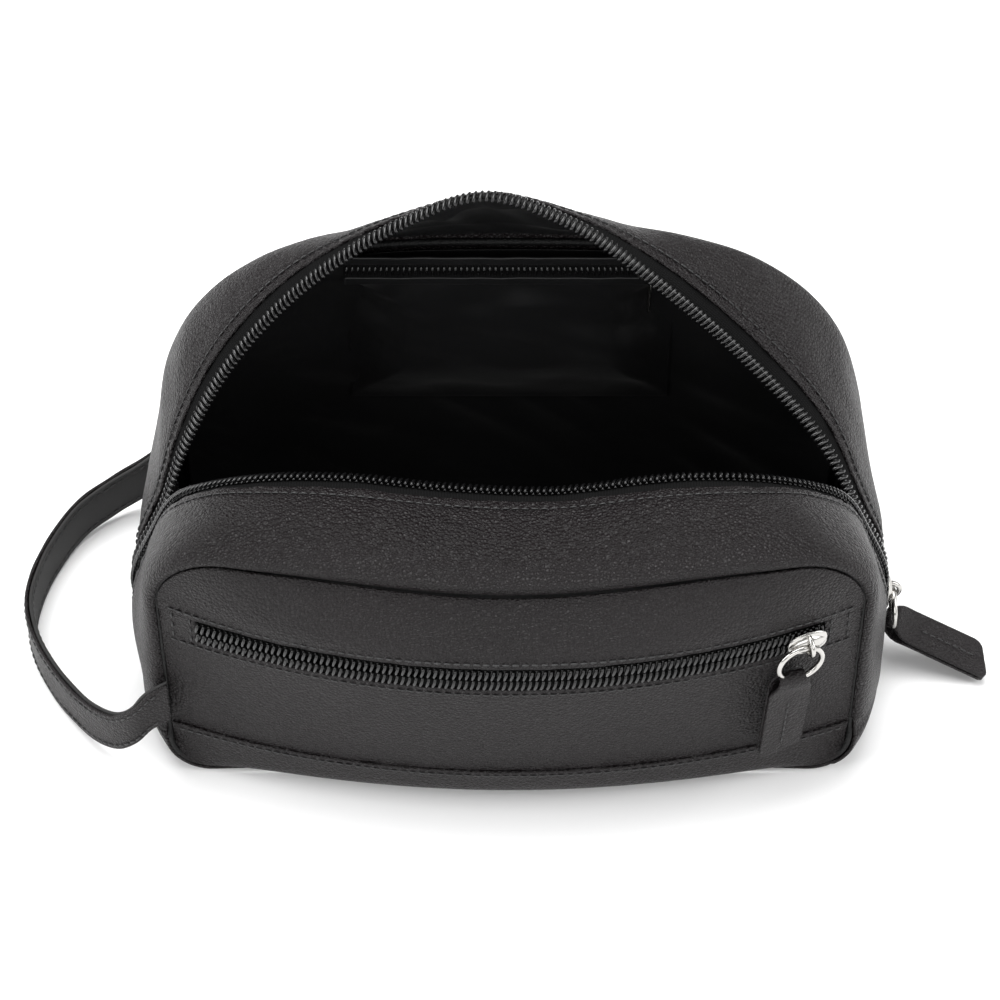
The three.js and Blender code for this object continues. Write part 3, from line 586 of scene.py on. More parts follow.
front_leather = gusset_part(front_half, None, TAPE_SHOWN, EVERY, 60)
back_leather = gusset_part(back_half, None, TAPE_SHOWN, EVERY, 60)
on_front_wall(shell("front_gusset_leather", *front_leather, LEATHER, leather, relief=gusset_relief(21, 0.8)),
              "leather", "front_gusset")
on_body(shell("back_gusset_leather", *back_leather, LEATHER, leather, relief=gusset_relief(31, 0.9)),
        "leather", "back_gusset")

# ---- Seam allowances and piping of the two faces ----
# A narrow turned strip of dark leather closes each seam between a face and the gusset,
# and between a face and the base strip. Only its rolled edge shows in the groove.
groove = leather_finish("seam_leather", 860, (0.003, 0.003, 0.0032), 0.5, 0.00018)
FOOT_TOP = 22.85


def piping(name, route, radius):
    centre = route(np.linspace(0, 1, 400))
    along = unit(np.gradient(centre, axis=0))
    up = unit(np.cross(along, np.array([0, 1.0, 0])))
    side = np.cross(along, up)
    turn = np.linspace(0, 2 * np.pi, 10, endpoint=False)[None, :, None]
    ring = centre[:, None] + radius * (np.cos(turn) * up[:, None] + np.sin(turn) * side[:, None])
    return closed_piece(name, ring.reshape(-1, 3), ring_faces(400, 10), groove)


on_front_wall(piping("front_seam_allowance", lambda u: front_seam(u) + np.array([0, 1.6, 0]), 1.3), "leather")
on_body(piping("back_seam_allowance", lambda u: back_seam(u) - np.array([0, 1.6, 0]), 1.3), "leather")


def foot_seam(depth, half):
    x = half * np.sin(np.linspace(-1, 1, 400) * np.pi / 2)
    low = bottom_edge(half, half)
    z = np.concatenate([np.linspace(FOOT_TOP, low, 12)[:-1], bottom_edge(x, half),
                        np.linspace(low, FOOT_TOP, 12)[1:]])
    x = np.concatenate([np.full(11, -half), x, np.full(11, half)])
    return by_length(np.stack([x, depth(x, z), z], axis=-1))


front_foot = foot_seam(front_y, FRONT_HALF)
back_foot = foot_seam(back_y, BACK_HALF)
for name, route, inward in (("front", front_foot, 1.5), ("back", back_foot, -1.5)):
    on_body(piping(name + "_foot_allowance", lambda u: route(u) + np.array([0, inward, 0.3]), 1.1), "leather")

# ---- Back face ----
# One plain panel of the same leather, slightly domed, sewn all round.
# Its foot turns under to the base strip.
back_grid, back_out = face_grid(
    back_y, 1, BACK_HALF - 0.6, lambda x: bottom_edge(x, BACK_HALF) + 0.5,
    lambda x: back_top(x) - 0.6, FACE_COLUMNS, 90)
on_body(shell("back_panel_leather", back_grid, back_out, LEATHER, leather, relief=panel_relief),
        "leather", "back_panel")

# ---- Base strip ----
# A wide strip of leather that runs under the bag and up both ends to the gusset,
# flat underneath, where a board stiffens it, and bulging at the ends.


def base_grid(columns, rows, inset=0.0):
    k = np.linspace(-1, 1, columns)
    u = 0.5 + (0.5 - inset) * np.sign(k) * np.abs(k) ** 0.7
    start, end = front_foot(u), back_foot(u)
    along = front_foot(np.minimum(1, u + 0.008)) - front_foot(np.maximum(0, u - 0.008))
    outward = unit(np.stack([along[:, 2], np.zeros(columns), -along[:, 0]], axis=-1))
    v = np.linspace(inset, 1 - inset, rows)[None, :, None]
    bulge = 10 * np.abs(outward[:, 0:1, None]) ** 3 * (1 - (2 * v - 1) ** 4)
    grid = start[:, None] * (1 - v) + end[:, None] * v + outward[:, None] * (BOTTOM_SEAM + bulge)
    return grid, turned(normals_of(grid), (0, 0, -1))


grid, normals = base_grid(200, 60)
base = shell("base_strip_leather", grid, normals, LEATHER, leather,
             relief=lambda p, run, length: np.where(p[..., 2] < 3, 0, 0.5) * ripple(p, 26, 41))
on_body(base, "leather", "base_strip")

# ---- Base board ----
# A stiff fibre board between the base strip and the lining, out of sight.
# It is the CAD solid itself with a mottled finish.
board_finish, tree, shader = node_material("fibre_board")
fibres = add(tree, "ShaderNodeTexNoise", {"Scale": 900})
feed(tree, shader, {
    "Base Color": ramp(tree, fibres.outputs["Fac"], (0.05, 0.035, 0.025), (0.12, 0.09, 0.07)),
    "Roughness": 0.85,
})
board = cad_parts["base_board"]
board.data.materials.clear()
board.data.materials.append(board_finish)

# ---- Zip tapes of the main zip ----
# Woven black tape, ribbed along its length, sewn under the leather edge.
# The coil of the zip is sewn along its free edge.


def tape_finish():
    material, tree, shader = node_material("woven_tape")
    uv = add(tree, "ShaderNodeUVMap", {}, uv_map="UVMap").outputs["UV"]
    ribs = add(tree, "ShaderNodeTexWave", {"Scale": 330, "Distortion": 0.6, "Vector": uv}, bands_direction="X")
    warp = add(tree, "ShaderNodeTexWave", {"Scale": 400, "Vector": uv}, bands_direction="Y")
    both = add(tree, "ShaderNodeMath", {0: ribs.outputs["Fac"], 1: warp.outputs["Fac"]},
               operation="MULTIPLY").outputs["Value"]
    bump = add(tree, "ShaderNodeBump", {"Distance": 0.00015, "Height": both})
    feed(tree, shader, {
        "Base Color": ramp(tree, both, (0.001, 0.001, 0.001), (0.005, 0.005, 0.0055)),
        "Normal": bump.outputs["Normal"], "Roughness": 0.8, "Specular IOR Level": 0.12,
    })
    return material


tape = tape_finish()
TAPE_TOP = -1.55
TAPE_THICK = 0.6
for name, half, fasten in (("front", front_half, on_front_wall), ("back", back_half, on_body)):
    grid, normals = gusset_part(half, TAPE_SHOWN + 8, 0.6, EVERY, 16)
    piece = shell("main_tape_" + name, grid, normals, TAPE_THICK, tape, top=TAPE_TOP + 0.5, edge=0.25,
                  relief=lambda p, run, length: 0.15 * ripple(p, 13, 51) * np.clip(run / 8, 0, 1))
    fasten(piece, "zip_tape", "main_zip_tape_" + name)

# ---- Teeth of the main zip ----
# Each half of the chain is one coil of nylon wire: a row of U-shaped turns sewn side by side on the tape.
# The rows close against each other for a short way at both ends of the mouth.
coil_finish, tree, shader = node_material("nylon_coil")
scuffs = add(tree, "ShaderNodeTexNoise", {"Scale": 1200}).outputs["Fac"]
scuff_range = add(tree, "ShaderNodeMapRange", {"To Min": 0.1, "To Max": 0.24, "Value": scuffs})
feed(tree, shader, {
    "Roughness": scuff_range.outputs["Result"],
    "Base Color": ramp(tree, scuffs, (0.002, 0.002, 0.002), (0.006, 0.006, 0.0065)),
    "Specular IOR Level": 0.5,
})


def swept(name, path, widths, sides, material, up):
    """A closed tube along a path in millimetres, with a radius for each point."""
    points, faces = tube(path, widths, sides, up=up)
    return closed_piece(name, points, faces, material)


def repeat_tree():
    """Sets a copy of one small piece at every step along a path, turned to the path and its up vectors."""
    tree = bpy.data.node_groups.new("repeat_along_path", "GeometryNodeTree")
    for name, kind in (("Geometry", "Geometry"), ("Step", "Float"), ("Piece", "Object"), ("Finish", "Material")):
        tree.interface.new_socket(name, in_out="INPUT", socket_type="NodeSocket" + kind)
    tree.interface.new_socket("Geometry", in_out="OUTPUT", socket_type="NodeSocketGeometry")
    source = tree.nodes.new("NodeGroupInput").outputs
    curve = add(tree, "GeometryNodeMeshToCurve", {"Mesh": source["Geometry"]})
    resample = add(tree, "GeometryNodeResampleCurve", {
        "Curve": curve.outputs["Curve"], "Length": source["Step"],
    }, mode="LENGTH")
    piece = add(tree, "GeometryNodeObjectInfo", {"Object": source["Piece"]})
    up = add(tree, "GeometryNodeInputNamedAttribute", {"Name": "up"}, data_type="FLOAT_VECTOR")
    tangent = tree.nodes.new("GeometryNodeInputTangent")
    stand = add(tree, "FunctionNodeAlignRotationToVector", {"Vector": up.outputs["Attribute"]}, axis="Z")
    turn = add(tree, "FunctionNodeAlignRotationToVector", {
        "Rotation": stand.outputs["Rotation"], "Vector": tangent.outputs["Tangent"],
    }, axis="X", pivot_axis="Z")
    put = add(tree, "GeometryNodeInstanceOnPoints", {
        "Points": resample.outputs["Curve"], "Instance": piece.outputs["Geometry"],
        "Rotation": turn.outputs["Rotation"],
    })
    real = add(tree, "GeometryNodeRealizeInstances", {"Geometry": put.outputs["Instances"]})
    finish = add(tree, "GeometryNodeSetMaterial", {
        "Geometry": real.outputs["Geometry"], "Material": source["Finish"],
    })
    add(tree, "NodeGroupOutput", {"Geometry": finish.outputs["Geometry"]})
    return tree


repeating = repeat_tree()
sockets = {s.name: s.identifier for s in repeating.interface.items_tree if s.in_out == "INPUT"}


def repeated(name, routes, step, unit_piece, material):
    """One mesh of a small piece repeated along routes, each a list of points and of up vectors."""
    vertices, edges, ups = [], [], []
    for points, up in routes:
        first = len(vertices)
        vertices.extend((np.asarray(points) * MM).tolist())
        ups.extend(np.broadcast_to(up, np.asarray(points).shape).tolist())
        edges.extend((first + i, first + i + 1) for i in range(len(points) - 1))
    mesh = bpy.data.meshes.new(name + "_route")
    mesh.from_pydata(vertices, edges, [])
    attribute = mesh.attributes.new("up", "FLOAT_VECTOR", "POINT")
    attribute.data.foreach_set("vector", np.array(ups, np.float32).ravel())
    carrier = object_with(name + "_route", mesh)
    modifier = carrier.modifiers.new("repeat", "NODES")
    modifier.node_group = repeating
    modifier[sockets["Step"]] = step * MM
    modifier[sockets["Piece"]] = unit_piece
    modifier[sockets["Finish"]] = material
    evaluated = carrier.evaluated_get(bpy.context.evaluated_depsgraph_get())
    made = bpy.data.meshes.new_from_object(evaluated)
    made.name = name
    made.materials.clear()
    made.materials.append(material)
    made.polygons.foreach_set("use_smooth", [True] * len(made.polygons))
    bpy.data.objects.remove(carrier)
    return object_with(name, made)


def coil_turn(reach):
    """One turn of the coil: y runs from the tape's side to the head, z out of the tape."""
    path = uniform_spline([
        (-0.55, -1.9, 0.25), (-0.4, -1.1, 0.72), (0, 0.3, 0.86), (0.3, reach - 0.5, 0.62), (0.35, reach, 0),
        (0.3, 0.6, -0.62), (0.1, -1.5, -0.6),
    ], 12)
    widths = [0.5, 0.58, 0.62, 0.64, 0.62, 0.6, 0.62, 0.66, 0.6, 0.54, 0.5, 0.46]
    return swept("coil_turn", path, widths, 6, coil_finish, up=(1, 0, 0))


head_out = coil_turn(2.15)
TOOTH_STEP = 2.05


def coil_route(half, flip):
    grid, normals = half
    k = np.searchsorted(np.linspace(0, PAST_COIL, grid.shape[1]), 1.0)
    order = slice(None, None, -1 if flip else 1)
    return grid[order, k], normals[order, k]


# The coil turn's head points to +Y when X follows the route and Z is up, so each half runs its own way.
front_teeth = repeated("main_teeth_front", [coil_route(front_half, False)], TOOTH_STEP, head_out, coil_finish)
on_front_wall(front_teeth, "zip_coil", "main_zip_coil_front")
back_teeth = repeated("main_teeth_back", [coil_route(back_half, True)], TOOTH_STEP, head_out, coil_finish)
on_body(back_teeth, "zip_coil", "main_zip_coil_back", "main_zip_end_left", "main_zip_end_right")

# ---- Pocket zip: tapes and closed chain ----
# Two ribbed tapes behind the window, with their coils head to head in the middle.
# The chain lies face up and follows the bow of the front face.


def bow_strip(z0, z1, reach, columns, rows):
    turn = math.asin(reach / FRONT_BOW)
    a = np.linspace(-turn, turn, columns)[:, None]
    z = np.linspace(z0, z1, rows)[None]
    a, z = np.broadcast_arrays(a, z)
    grid = np.stack([FRONT_BOW * np.sin(a), FRONT_BOW * (1 - np.cos(a)) - FRONT_REACH, z], axis=-1)
    return grid, np.stack([np.sin(a), -np.cos(a), np.zeros_like(a)], axis=-1)


pocket_halves = (("lower", ZIP_HEIGHT - 8, ZIP_HEIGHT - 0.5), ("upper", ZIP_HEIGHT + 0.5, ZIP_HEIGHT + 8))
for name, z0, z1 in pocket_halves:
    grid, normals = bow_strip(z0, z1, 109, 160, 12)
    piece = shell("pocket_tape_" + name, grid, normals, TAPE_THICK, tape, top=TAPE_TOP + 0.35, edge=0.25)
    on_front_wall(piece, "zip_tape", "pocket_zip_tape_" + name)
meshed = coil_turn(2.0)
# The upper half runs the other way and starts two samples in, which sets its turns between the lower ones.
for name, z, order in (("lower", ZIP_HEIGHT - COIL_OFFSET, slice(None)),
                       ("upper", ZIP_HEIGHT + COIL_OFFSET, slice(-3, None, -1))):
    grid, normals = bow_strip(z, z + 1, 102, 300, 2)
    route = (grid[order, 0], normals[order, 0])
    piece = repeated("pocket_teeth_" + name, [route], TOOTH_STEP, meshed, coil_finish)
    on_front_wall(piece, "zip_coil", "pocket_zip_coil_" + name)
bpy.data.objects.remove(meshed)
bpy.data.objects.remove(head_out)

# ---- End tabs of the pocket zip ----
# A small strip of leather at each end of the window covers the zip's ends.
# It is sewn down with the panels on its outer side.
for name, side in (("left", -1), ("right", 1)):
    x = np.linspace(102.5, FRONT_HALF - 0.8, 16)[:, None] * side
    z = np.linspace(window_low - 0.2, window_high + 0.2, 14)[None]
    x, z = np.broadcast_arrays(x, z)
    grid = np.stack([x, front_y(x, z), z], axis=-1)
    normals = turned(normals_of(grid), (0, -1, 0))
    piece = shell("pocket_tab_" + name, grid, normals, LEATHER, leather, top=-0.1)
    on_front_wall(piece, "leather", "pocket_end_tab_" + name)

# ---- Lining ----
# Thin black nylon, cut a little large, so it hangs in soft folds inside the leather.
# It is sewn in with the zip tapes and along the seams.


def lining_finish():
    material, tree, shader = node_material("nylon_lining")
    uv = add(tree, "ShaderNodeUVMap", {}, uv_map="UVMap").outputs["UV"]
    threads = add(tree, "ShaderNodeTexWave", {"Scale": 700, "Distortion": 0.4, "Vector": uv}, bands_direction="X")
    picks = add(tree, "ShaderNodeTexWave", {"Scale": 700, "Vector": uv}, bands_direction="Y")
    weave = add(tree, "ShaderNodeMath", {0: threads.outputs["Fac"], 1: picks.outputs["Fac"]}, operation="MAXIMUM")
    place = tree.nodes.new("ShaderNodeTexCoord").outputs["Object"]
    fold_bumps_and_shade = add(tree, "ShaderNodeTexNoise", {
        "Scale": 30, "Detail": 2, "Roughness": 0.45, "Distortion": 0.5, "Vector": place,
    }).outputs["Fac"]
    soft = add(tree, "ShaderNodeBump", {"Distance": 0.003, "Strength": 0.55, "Height": fold_bumps_and_shade})
    fine = add(tree, "ShaderNodeBump", {
        "Distance": 0.00004, "Strength": 0.5, "Height": weave.outputs["Value"], "Normal": soft.outputs["Normal"],
    })
    # Painted shade: the base colour follows the same noise as the soft fold bumps, darker in the fold hollows and
    # lighter on the crests.
    feed(tree, shader, {
        "Base Color": ramp(tree, fold_bumps_and_shade, (0.0012, 0.0012, 0.0013), (0.0035, 0.0035, 0.004)),
        "Normal": fine.outputs["Normal"], "Roughness": 0.38, "Specular IOR Level": 0.4, "Sheen Weight": 0.03,
    })
    return material


lining = lining_finish()
CLOTH = 0.35


def fold_relief(amount, seed):
    """Folds that run diagonally and fade out at the sewn edges, only away from the leather."""
    def relief(p, run, length):
        held = np.clip(np.minimum(run, length - run) / 9, 0, 1) ** 1.2
        slant = p[..., 0] * 0.62 + p[..., 2] * 0.8 + 16 * ripple(p, 80, seed)
        strong = np.clip(0.5 + ripple(p, 45, seed + 1), 0, 1)
        folds = strong * (0.5 + 0.5 * np.sin(slant * 2 * np.pi / 21)) ** 2
        return -amount * held * (0.2 + 0.55 * folds + 0.25 * (1 + ripple(p, 30, seed + 2)))
    return relief


def lining_sheet(name, grid, normals, top, relief, node, fasten):
    piece = shell(name, grid, normals, CLOTH, lining, top=top, edge=0.15, relief=relief)
    fasten(piece, "lining", node)


def gusset_inside(half, count, first):
    grid, normals = gusset_part(half, None, TAPE_SHOWN - 1, slice(6, COLUMNS - 6), count)
    return grid[:, first:], normals[:, first:]


lining_sheet("back_gusset_lining", *gusset_inside(back_half, 70, 6), -2.4, fold_relief(3.2, 61),
             "lining_back_gusset", on_body)
lining_sheet("front_gusset_lining", *gusset_inside(front_half, 50, 5), -2.4, fold_relief(1.6, 71),
             "lining_front_gusset", on_front_wall)
wall = face_grid(front_y, -1, FRONT_HALF - 4, flat_at(BAND_HEIGHT + 1), lambda x: front_top(x) - 3, 120, 50)
lining_sheet("front_wall_lining", *wall, -7.0, fold_relief(1.5, 81), "lining_front", on_front_wall)
lining_sheet("pocket_back_lining", *wall, -4.6, None, "pocket_lining", on_front_wall)
rear = face_grid(back_y, 1, BACK_HALF - 3, lambda x: bottom_edge(x, BACK_HALF) + 8,
                 lambda x: back_top(x) - 2, 160, 90)
lining_sheet("back_wall_lining", *rear, -3.0, fold_relief(2.2, 91), "lining_back", on_body)
lining_sheet("base_lining", *base_grid(160, 50, 0.02), -3.6,
             lambda p, run, length: -0.7 * (1 + ripple(p, 40, 95)), "lining_base", on_body)

# A small patch of the same nylon closes each end of the main zip from inside.
for name, side in (("left", -1), ("right", 1)):
    y = np.linspace(-13, 9, 24)[:, None]
    k = np.linspace(0, 1, 20)[None]
    z = 24.5 + k * (34 + 0.03 * (y + 2) ** 2)
    x = np.interp(z, [24, 44, 52, 62], [124.3, 124.3, 122.6, 118.6]) * side
    y, x, z = np.broadcast_arrays(y, x, z)
    grid = np.stack([x, y, z], axis=-1)
    normals = turned(normals_of(grid), (side, 0, 0))
    piece = shell("zip_end_lining_" + name, grid, normals, CLOTH, lining, edge=0.15)
    on_body(piece, "lining")

# ---- Inner zipped pocket ----
# A flat nylon pocket on the back lining, closed along its top by a reversed zip:
# two narrow hems with the ribbed back of the chain between them, and a small slider with a tag.
INNER_Y = 51
INNER_HALF = 56
INNER_Z = 132


def upright_strip(half, z0, z1, y, columns, rows, sag=0.0):
    x = np.linspace(-half, half, columns)[:, None]
    z = np.linspace(z0, z1, rows)[None]
    x, z = np.broadcast_arrays(x, z)
    drop = sag * (1 - (x / half) ** 2)
    grid = np.stack([x, np.full_like(x, y), z - drop], axis=-1)
    return grid, np.broadcast_to(np.array([0, -1.0, 0]), grid.shape).copy()


grid, normals = upright_strip(INNER_HALF, 62, INNER_Z - 5.8, INNER_Y, 130, 60)


def pocket_folds(p, run, length):
    from_side = INNER_HALF - np.abs(p[..., 0])
    held = np.clip(np.minimum(run, length - run) / 10, 0, 1) * np.clip(from_side / 10, 0, 1)
    inward = np.minimum(from_side / 22, run / 26)
    sewn_down = np.where(inward < 1, 0.5 + 0.5 * np.cos(np.pi * np.clip(inward, 0, 1)), 0)
    near_zip = np.clip((length - run) / 8, 0, 1)
    return held * (1.6 * ripple(p, 50, 101) + 0.8 * ripple(p, 21, 102)) - 8.5 * sewn_down * near_zip


piece = shell("inner_pocket_cloth", grid, normals, CLOTH, lining, top=0.2, edge=0.15, relief=pocket_folds)
on_body(piece, "lining", "inner_pocket_panel")
grid, normals = upright_strip(INNER_HALF, INNER_Z - 5.5, INNER_Z + 5.5, INNER_Y, 130, 12)
piece = shell("inner_zip_tape", grid, normals, TAPE_THICK, tape, top=0.3, edge=0.25)
on_body(piece, "zip_tape", "inner_pocket_zip_tape")
for name, z in (("low", INNER_Z - 4.6), ("high", INNER_Z + 4.6)):
    grid, normals = upright_strip(INNER_HALF, z - 1.6, z + 1.6, INNER_Y - 0.6, 130, 6)
    on_body(shell("inner_hem_" + name, grid, normals, 0.9, lining, top=0.3, edge=0.4,
                  relief=lambda p, run, length: 0.15 * ripple(p, 11, 103)), "lining")
rib = swept("rib", [(0, -1.9, 0), (0, 0, 0.16), (0, 1.9, 0)], [0.42, 0.5, 0.42], 6, coil_finish, up=(1, 0, 0))
x = np.linspace(-INNER_HALF + 1, INNER_HALF - 1, 90)
ribs_route = np.stack([x, np.full_like(x, INNER_Y - 0.5), np.full_like(x, INNER_Z)], axis=-1)
ribs = repeated("inner_zip_ribs", [(ribs_route, np.array([0, -1.0, 0]))], 1.9, rib, coil_finish)
on_body(ribs, "zip_coil", "inner_pocket_zip_coil")
bpy.data.objects.remove(rib)

# ---- Stitches ----
# Black bonded thread, a stitch every three millimetres, slightly sunk in the leather.
# Rows run along the zip edges, the window, the bottom band and the end tabs.
thread, tree, shader = node_material("bonded_thread")
nap = add(tree, "ShaderNodeTexNoise", {"Scale": 3000})
feed(tree, shader, {
    "Base Color": ramp(tree, nap.outputs["Fac"], (0.006, 0.006, 0.006), (0.022, 0.022, 0.023)),
    "Roughness": 0.42,
})
STITCH_STEP = 3.1
stitch_path = [(-1.15, 0, -0.35), (-0.9, 0, 0.02), (0, 0, 0.12), (0.9, 0, 0.02), (1.15, 0, -0.35)]
stitch = swept("stitch", stitch_path, [0.12, 0.3, 0.34, 0.3, 0.12], 6, thread, up=(0, 1, 0))


def row_on(grid, normals, distance, lift, columns, from_first=False):
    """A row of stitches on a sheet, at a distance from its last long edge, or from its first."""
    run = along_rows(grid)
    wanted = np.full((len(grid), 1), distance) if from_first else run[:, -1:] - distance
    points = at_distances(grid, run, wanted)[:, 0]
    ways = unit(at_distances(normals, run, wanted))[:, 0]
    return (points + ways * lift)[columns], ways[columns]


span = slice(14, COLUMNS - 14)
wall_rows = [
    row_on(*front_leather, 4, -0.1, span),
    row_on(upper_grid, upper_out, 2.4, 0.12, slice(8, -8), from_first=True),
    row_on(lower_grid, lower_out, 2.4, -0.2, slice(8, -8)),
]
for side in (-1, 1):
    for x in (104.4, 110.5):
        z = np.linspace(window_low + 1, window_high - 1, 12)
        xs = np.full_like(z, x * side)
        points = np.stack([xs, front_y(xs, z) - 0.02, z], axis=-1)
        turn = math.asin(x / FRONT_BOW) * side
        wall_rows.append((points, np.array([math.sin(turn), -math.cos(turn), 0])))
on_front_wall(repeated("front_wall_stitches", wall_rows, STITCH_STEP, stitch, thread), "leather")
body_rows = [row_on(*back_leather, 4, -0.1, span), row_on(band_grid, band_out, 2.2, 0.6, slice(6, -6))]
on_body(repeated("body_stitches", body_rows, STITCH_STEP, stitch, thread), "leather")

# ---- Wrist strap ----
# Two layers of leather stitched together along both edges, standing on edge in a loop,
# with both ends sewn into the seams at the bag's left end.
strap_route = by_length(curve_through([
    (-114.5, -57.4, 36.5), (-121.5, -58.6, 32), (-127, -59.5, 25.5), (-134, -56, 18), (-144, -46.5, 12.5),
    (-157, -29, 9.4), (-166, -12, 9.2), (-169.5, 3, 9.2), (-168, 18, 9.2), (-162.5, 35, 9.3), (-155, 48, 10.2),
    (-144, 57.5, 12), (-134, 62.5, 15.5), (-127.5, 64, 20.5), (-123, 64.2, 26), (-117.5, 62.8, 30),
]))
suede, tree, shader = node_material("strap_backing_leather")
nap = add(tree, "ShaderNodeTexNoise", {"Scale": 1500, "Detail": 4}).outputs["Fac"]
nap_bump = add(tree, "ShaderNodeBump", {"Distance": 0.0002, "Height": nap})
feed(tree, shader, {
    "Base Color": ramp(tree, nap, (0.008, 0.008, 0.008), (0.03, 0.029, 0.029)),
    "Normal": nap_bump.outputs["Normal"], "Roughness": 0.7,
})
STRAP_HALF = 9
STRAP_ROWS = 18
centre = strap_route(np.linspace(0, 1, 260))
along = np.gradient(centre, axis=0)
outward = unit(np.stack([along[:, 1], -along[:, 0], np.zeros(len(centre))], axis=-1))
if outward[len(centre) // 2, 0] > 0:
    outward = -outward
v = np.linspace(-STRAP_HALF, STRAP_HALF, STRAP_ROWS)[None, :, None]
strap_grid = centre[:, None] + v * np.array([0, 0, 1.0])
strap_out = np.repeat(outward[:, None], STRAP_ROWS, axis=1)


def strap_relief(p, run, length):
    from_edge = np.minimum(run, length - run)
    return -0.18 * np.exp(-((from_edge - 2.2) / 0.7) ** 2) + 0.12 * ripple(p, 14, 111)


strap_leather = leather_finish("strap_leather", 900, (0.006, 0.004, 0.0046), 0.38, 0.0005)
layer = dict(top=1.45, edge=0.6, relief=strap_relief)
outer = shell("strap_outer", strap_grid, strap_out, 1.35, strap_leather, **layer)
inner = shell("strap_inner", strap_grid, -strap_out, 1.35, suede, **layer)
strap_rows = []
for height in (-6.8, 6.8):
    for way in (1, -1):
        points = centre + outward * 1.38 * way + np.array([0, 0, height])
        strap_rows.append((points[8:-8], (outward * way)[8:-8]))
strap_thread = repeated("strap_stitches", strap_rows, STITCH_STEP, stitch, thread)
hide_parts("wrist_strap")
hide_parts("wrist_strap_backing")
for piece in (outer, inner, strap_thread):
    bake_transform(piece)

# ---- Zip sliders ----
# Cast and nickel-plated: a domed top plate with a raised crown, a lower plate joined to it by a post,
# and an arched bail that holds the ring.
nickel, tree, shader = node_material("polished_nickel")
rubs = add(tree, "ShaderNodeTexNoise", {"Scale": 700, "Detail": 5}).outputs["Fac"]
rub_range = add(tree, "ShaderNodeMapRange", {"To Min": 0.08, "To Max": 0.24, "Value": rubs})
feed(tree, shader, {
    "Metallic": 1, "Roughness": rub_range.outputs["Result"],
    "Base Color": ramp(tree, rubs, (0.36, 0.35, 0.335), (0.56, 0.55, 0.53)),
})
PLATE_TOP = 2.9
RING_RADIUS = 7.6


def plate(length, width, bottom, top, crown):
    """A rounded plate as a closed stack of rings, with a domed top."""
    turn = np.linspace(0, 2 * np.pi, 40, endpoint=False)
    c, s = np.cos(turn), np.sin(turn)
    outline = np.stack([np.sign(c) * np.abs(c) ** 0.75 * length / 2,
                        np.sign(s) * np.abs(s) ** 0.75 * width / 2], -1)
    rings = [(0.2, bottom), (0.93, bottom), (1, bottom + 0.3), (1, top - 0.35), (0.93, top),
             (0.75, top + crown * 0.55), (0.5, top + crown * 0.85), (0.2, top + crown)]
    points = np.concatenate([np.concatenate([outline * k, np.full((40, 1), z)], axis=1) for k, z in rings])
    return points, ring_faces(len(rings), 40)


def local_frame(placing):
    """The origin and the three axes of a local frame given as (origin, x axis, z axis)."""
    origin, x_axis, z_axis = (np.array(p, float) for p in placing)
    x_axis = unit(x_axis)
    y_axis = unit(np.cross(z_axis, x_axis))
    return origin, np.stack([x_axis, y_axis, np.cross(x_axis, y_axis)])


def put_together(name, parts, placing, material):
    """One mesh from parts given in a local frame."""
    origin, axes = local_frame(placing)
    vertices, faces = [], []
    for points, polygons in parts:
        first = sum(len(p) for p in vertices)
        vertices.append(np.asarray(points) @ axes + origin)
        faces.extend([[first + i for i in f] for f in polygons])
    return closed_piece(name, np.concatenate(vertices), faces, material)


def slider_parts(across):
    upper = plate(14, 10, PLATE_TOP - 1.2, PLATE_TOP - 0.35, 0.2)
    lean = np.linspace(-1, 1, 25)
    half_width = 3.6 * (1 - lean ** 2) + 0.25
    around = np.linspace(0, np.pi, 13)
    dome = np.stack([
        np.repeat(lean[:, None] * 6.7, 13, 1), half_width[:, None] * np.cos(around)[None],
        PLATE_TOP - 0.7 + (0.35 + 1.75 * (1 - lean ** 2))[:, None] * np.sin(around)[None],
    ], axis=-1)
    lens = (dome.reshape(-1, 3), ring_faces(25, 13))
    lower = plate(13.6, 9.6, -3.75, -2.6, 0)
    post = tube([(4, 0, -3.2), (4, 0, 2.4)], 0.5, 12, up=(1, 0, 0), squash=0.5)
    lean = np.linspace(0, np.pi, 22)
    arch = np.stack([-3.55 * np.cos(lean), np.zeros(22), PLATE_TOP - 0.3 + 3.9 * np.sin(lean)], axis=-1)
    arch = np.concatenate([[[-3.7, 0, PLATE_TOP - 0.8]], arch, [[3.7, 0, PLATE_TOP - 0.8]]])
    if across:
        arch = arch[:, [1, 0, 2]]
    bail = tube(arch, 0.95, 14, up=(1, 0, 0) if across else (0, 1, 0), squash=0.9)
    return [upper, lower, post, bail, lens]


def ring_parts():
    turn = np.linspace(0, 2 * np.pi, 64, endpoint=False)
    circle = np.stack([RING_RADIUS - RING_RADIUS * np.cos(turn), RING_RADIUS * np.sin(turn), np.zeros(64)], axis=-1)
    return [tube(circle, 1.0, 16, closed=True)]


# ---- Leather pull tabs ----
# One strip of leather folded through the ring, its two layers stitched down the middle.
# The ends are cut at a slant and the strip bunches where it passes through the ring.
tab_leather = leather_finish("tab_leather", 950, (0.0066, 0.0046, 0.0052), 0.38, 0.00045)
PULL_LENGTH = 38
PULL_HALF = 7.5
PULL_CORNER = 3
PULL_LAYER = 0.72


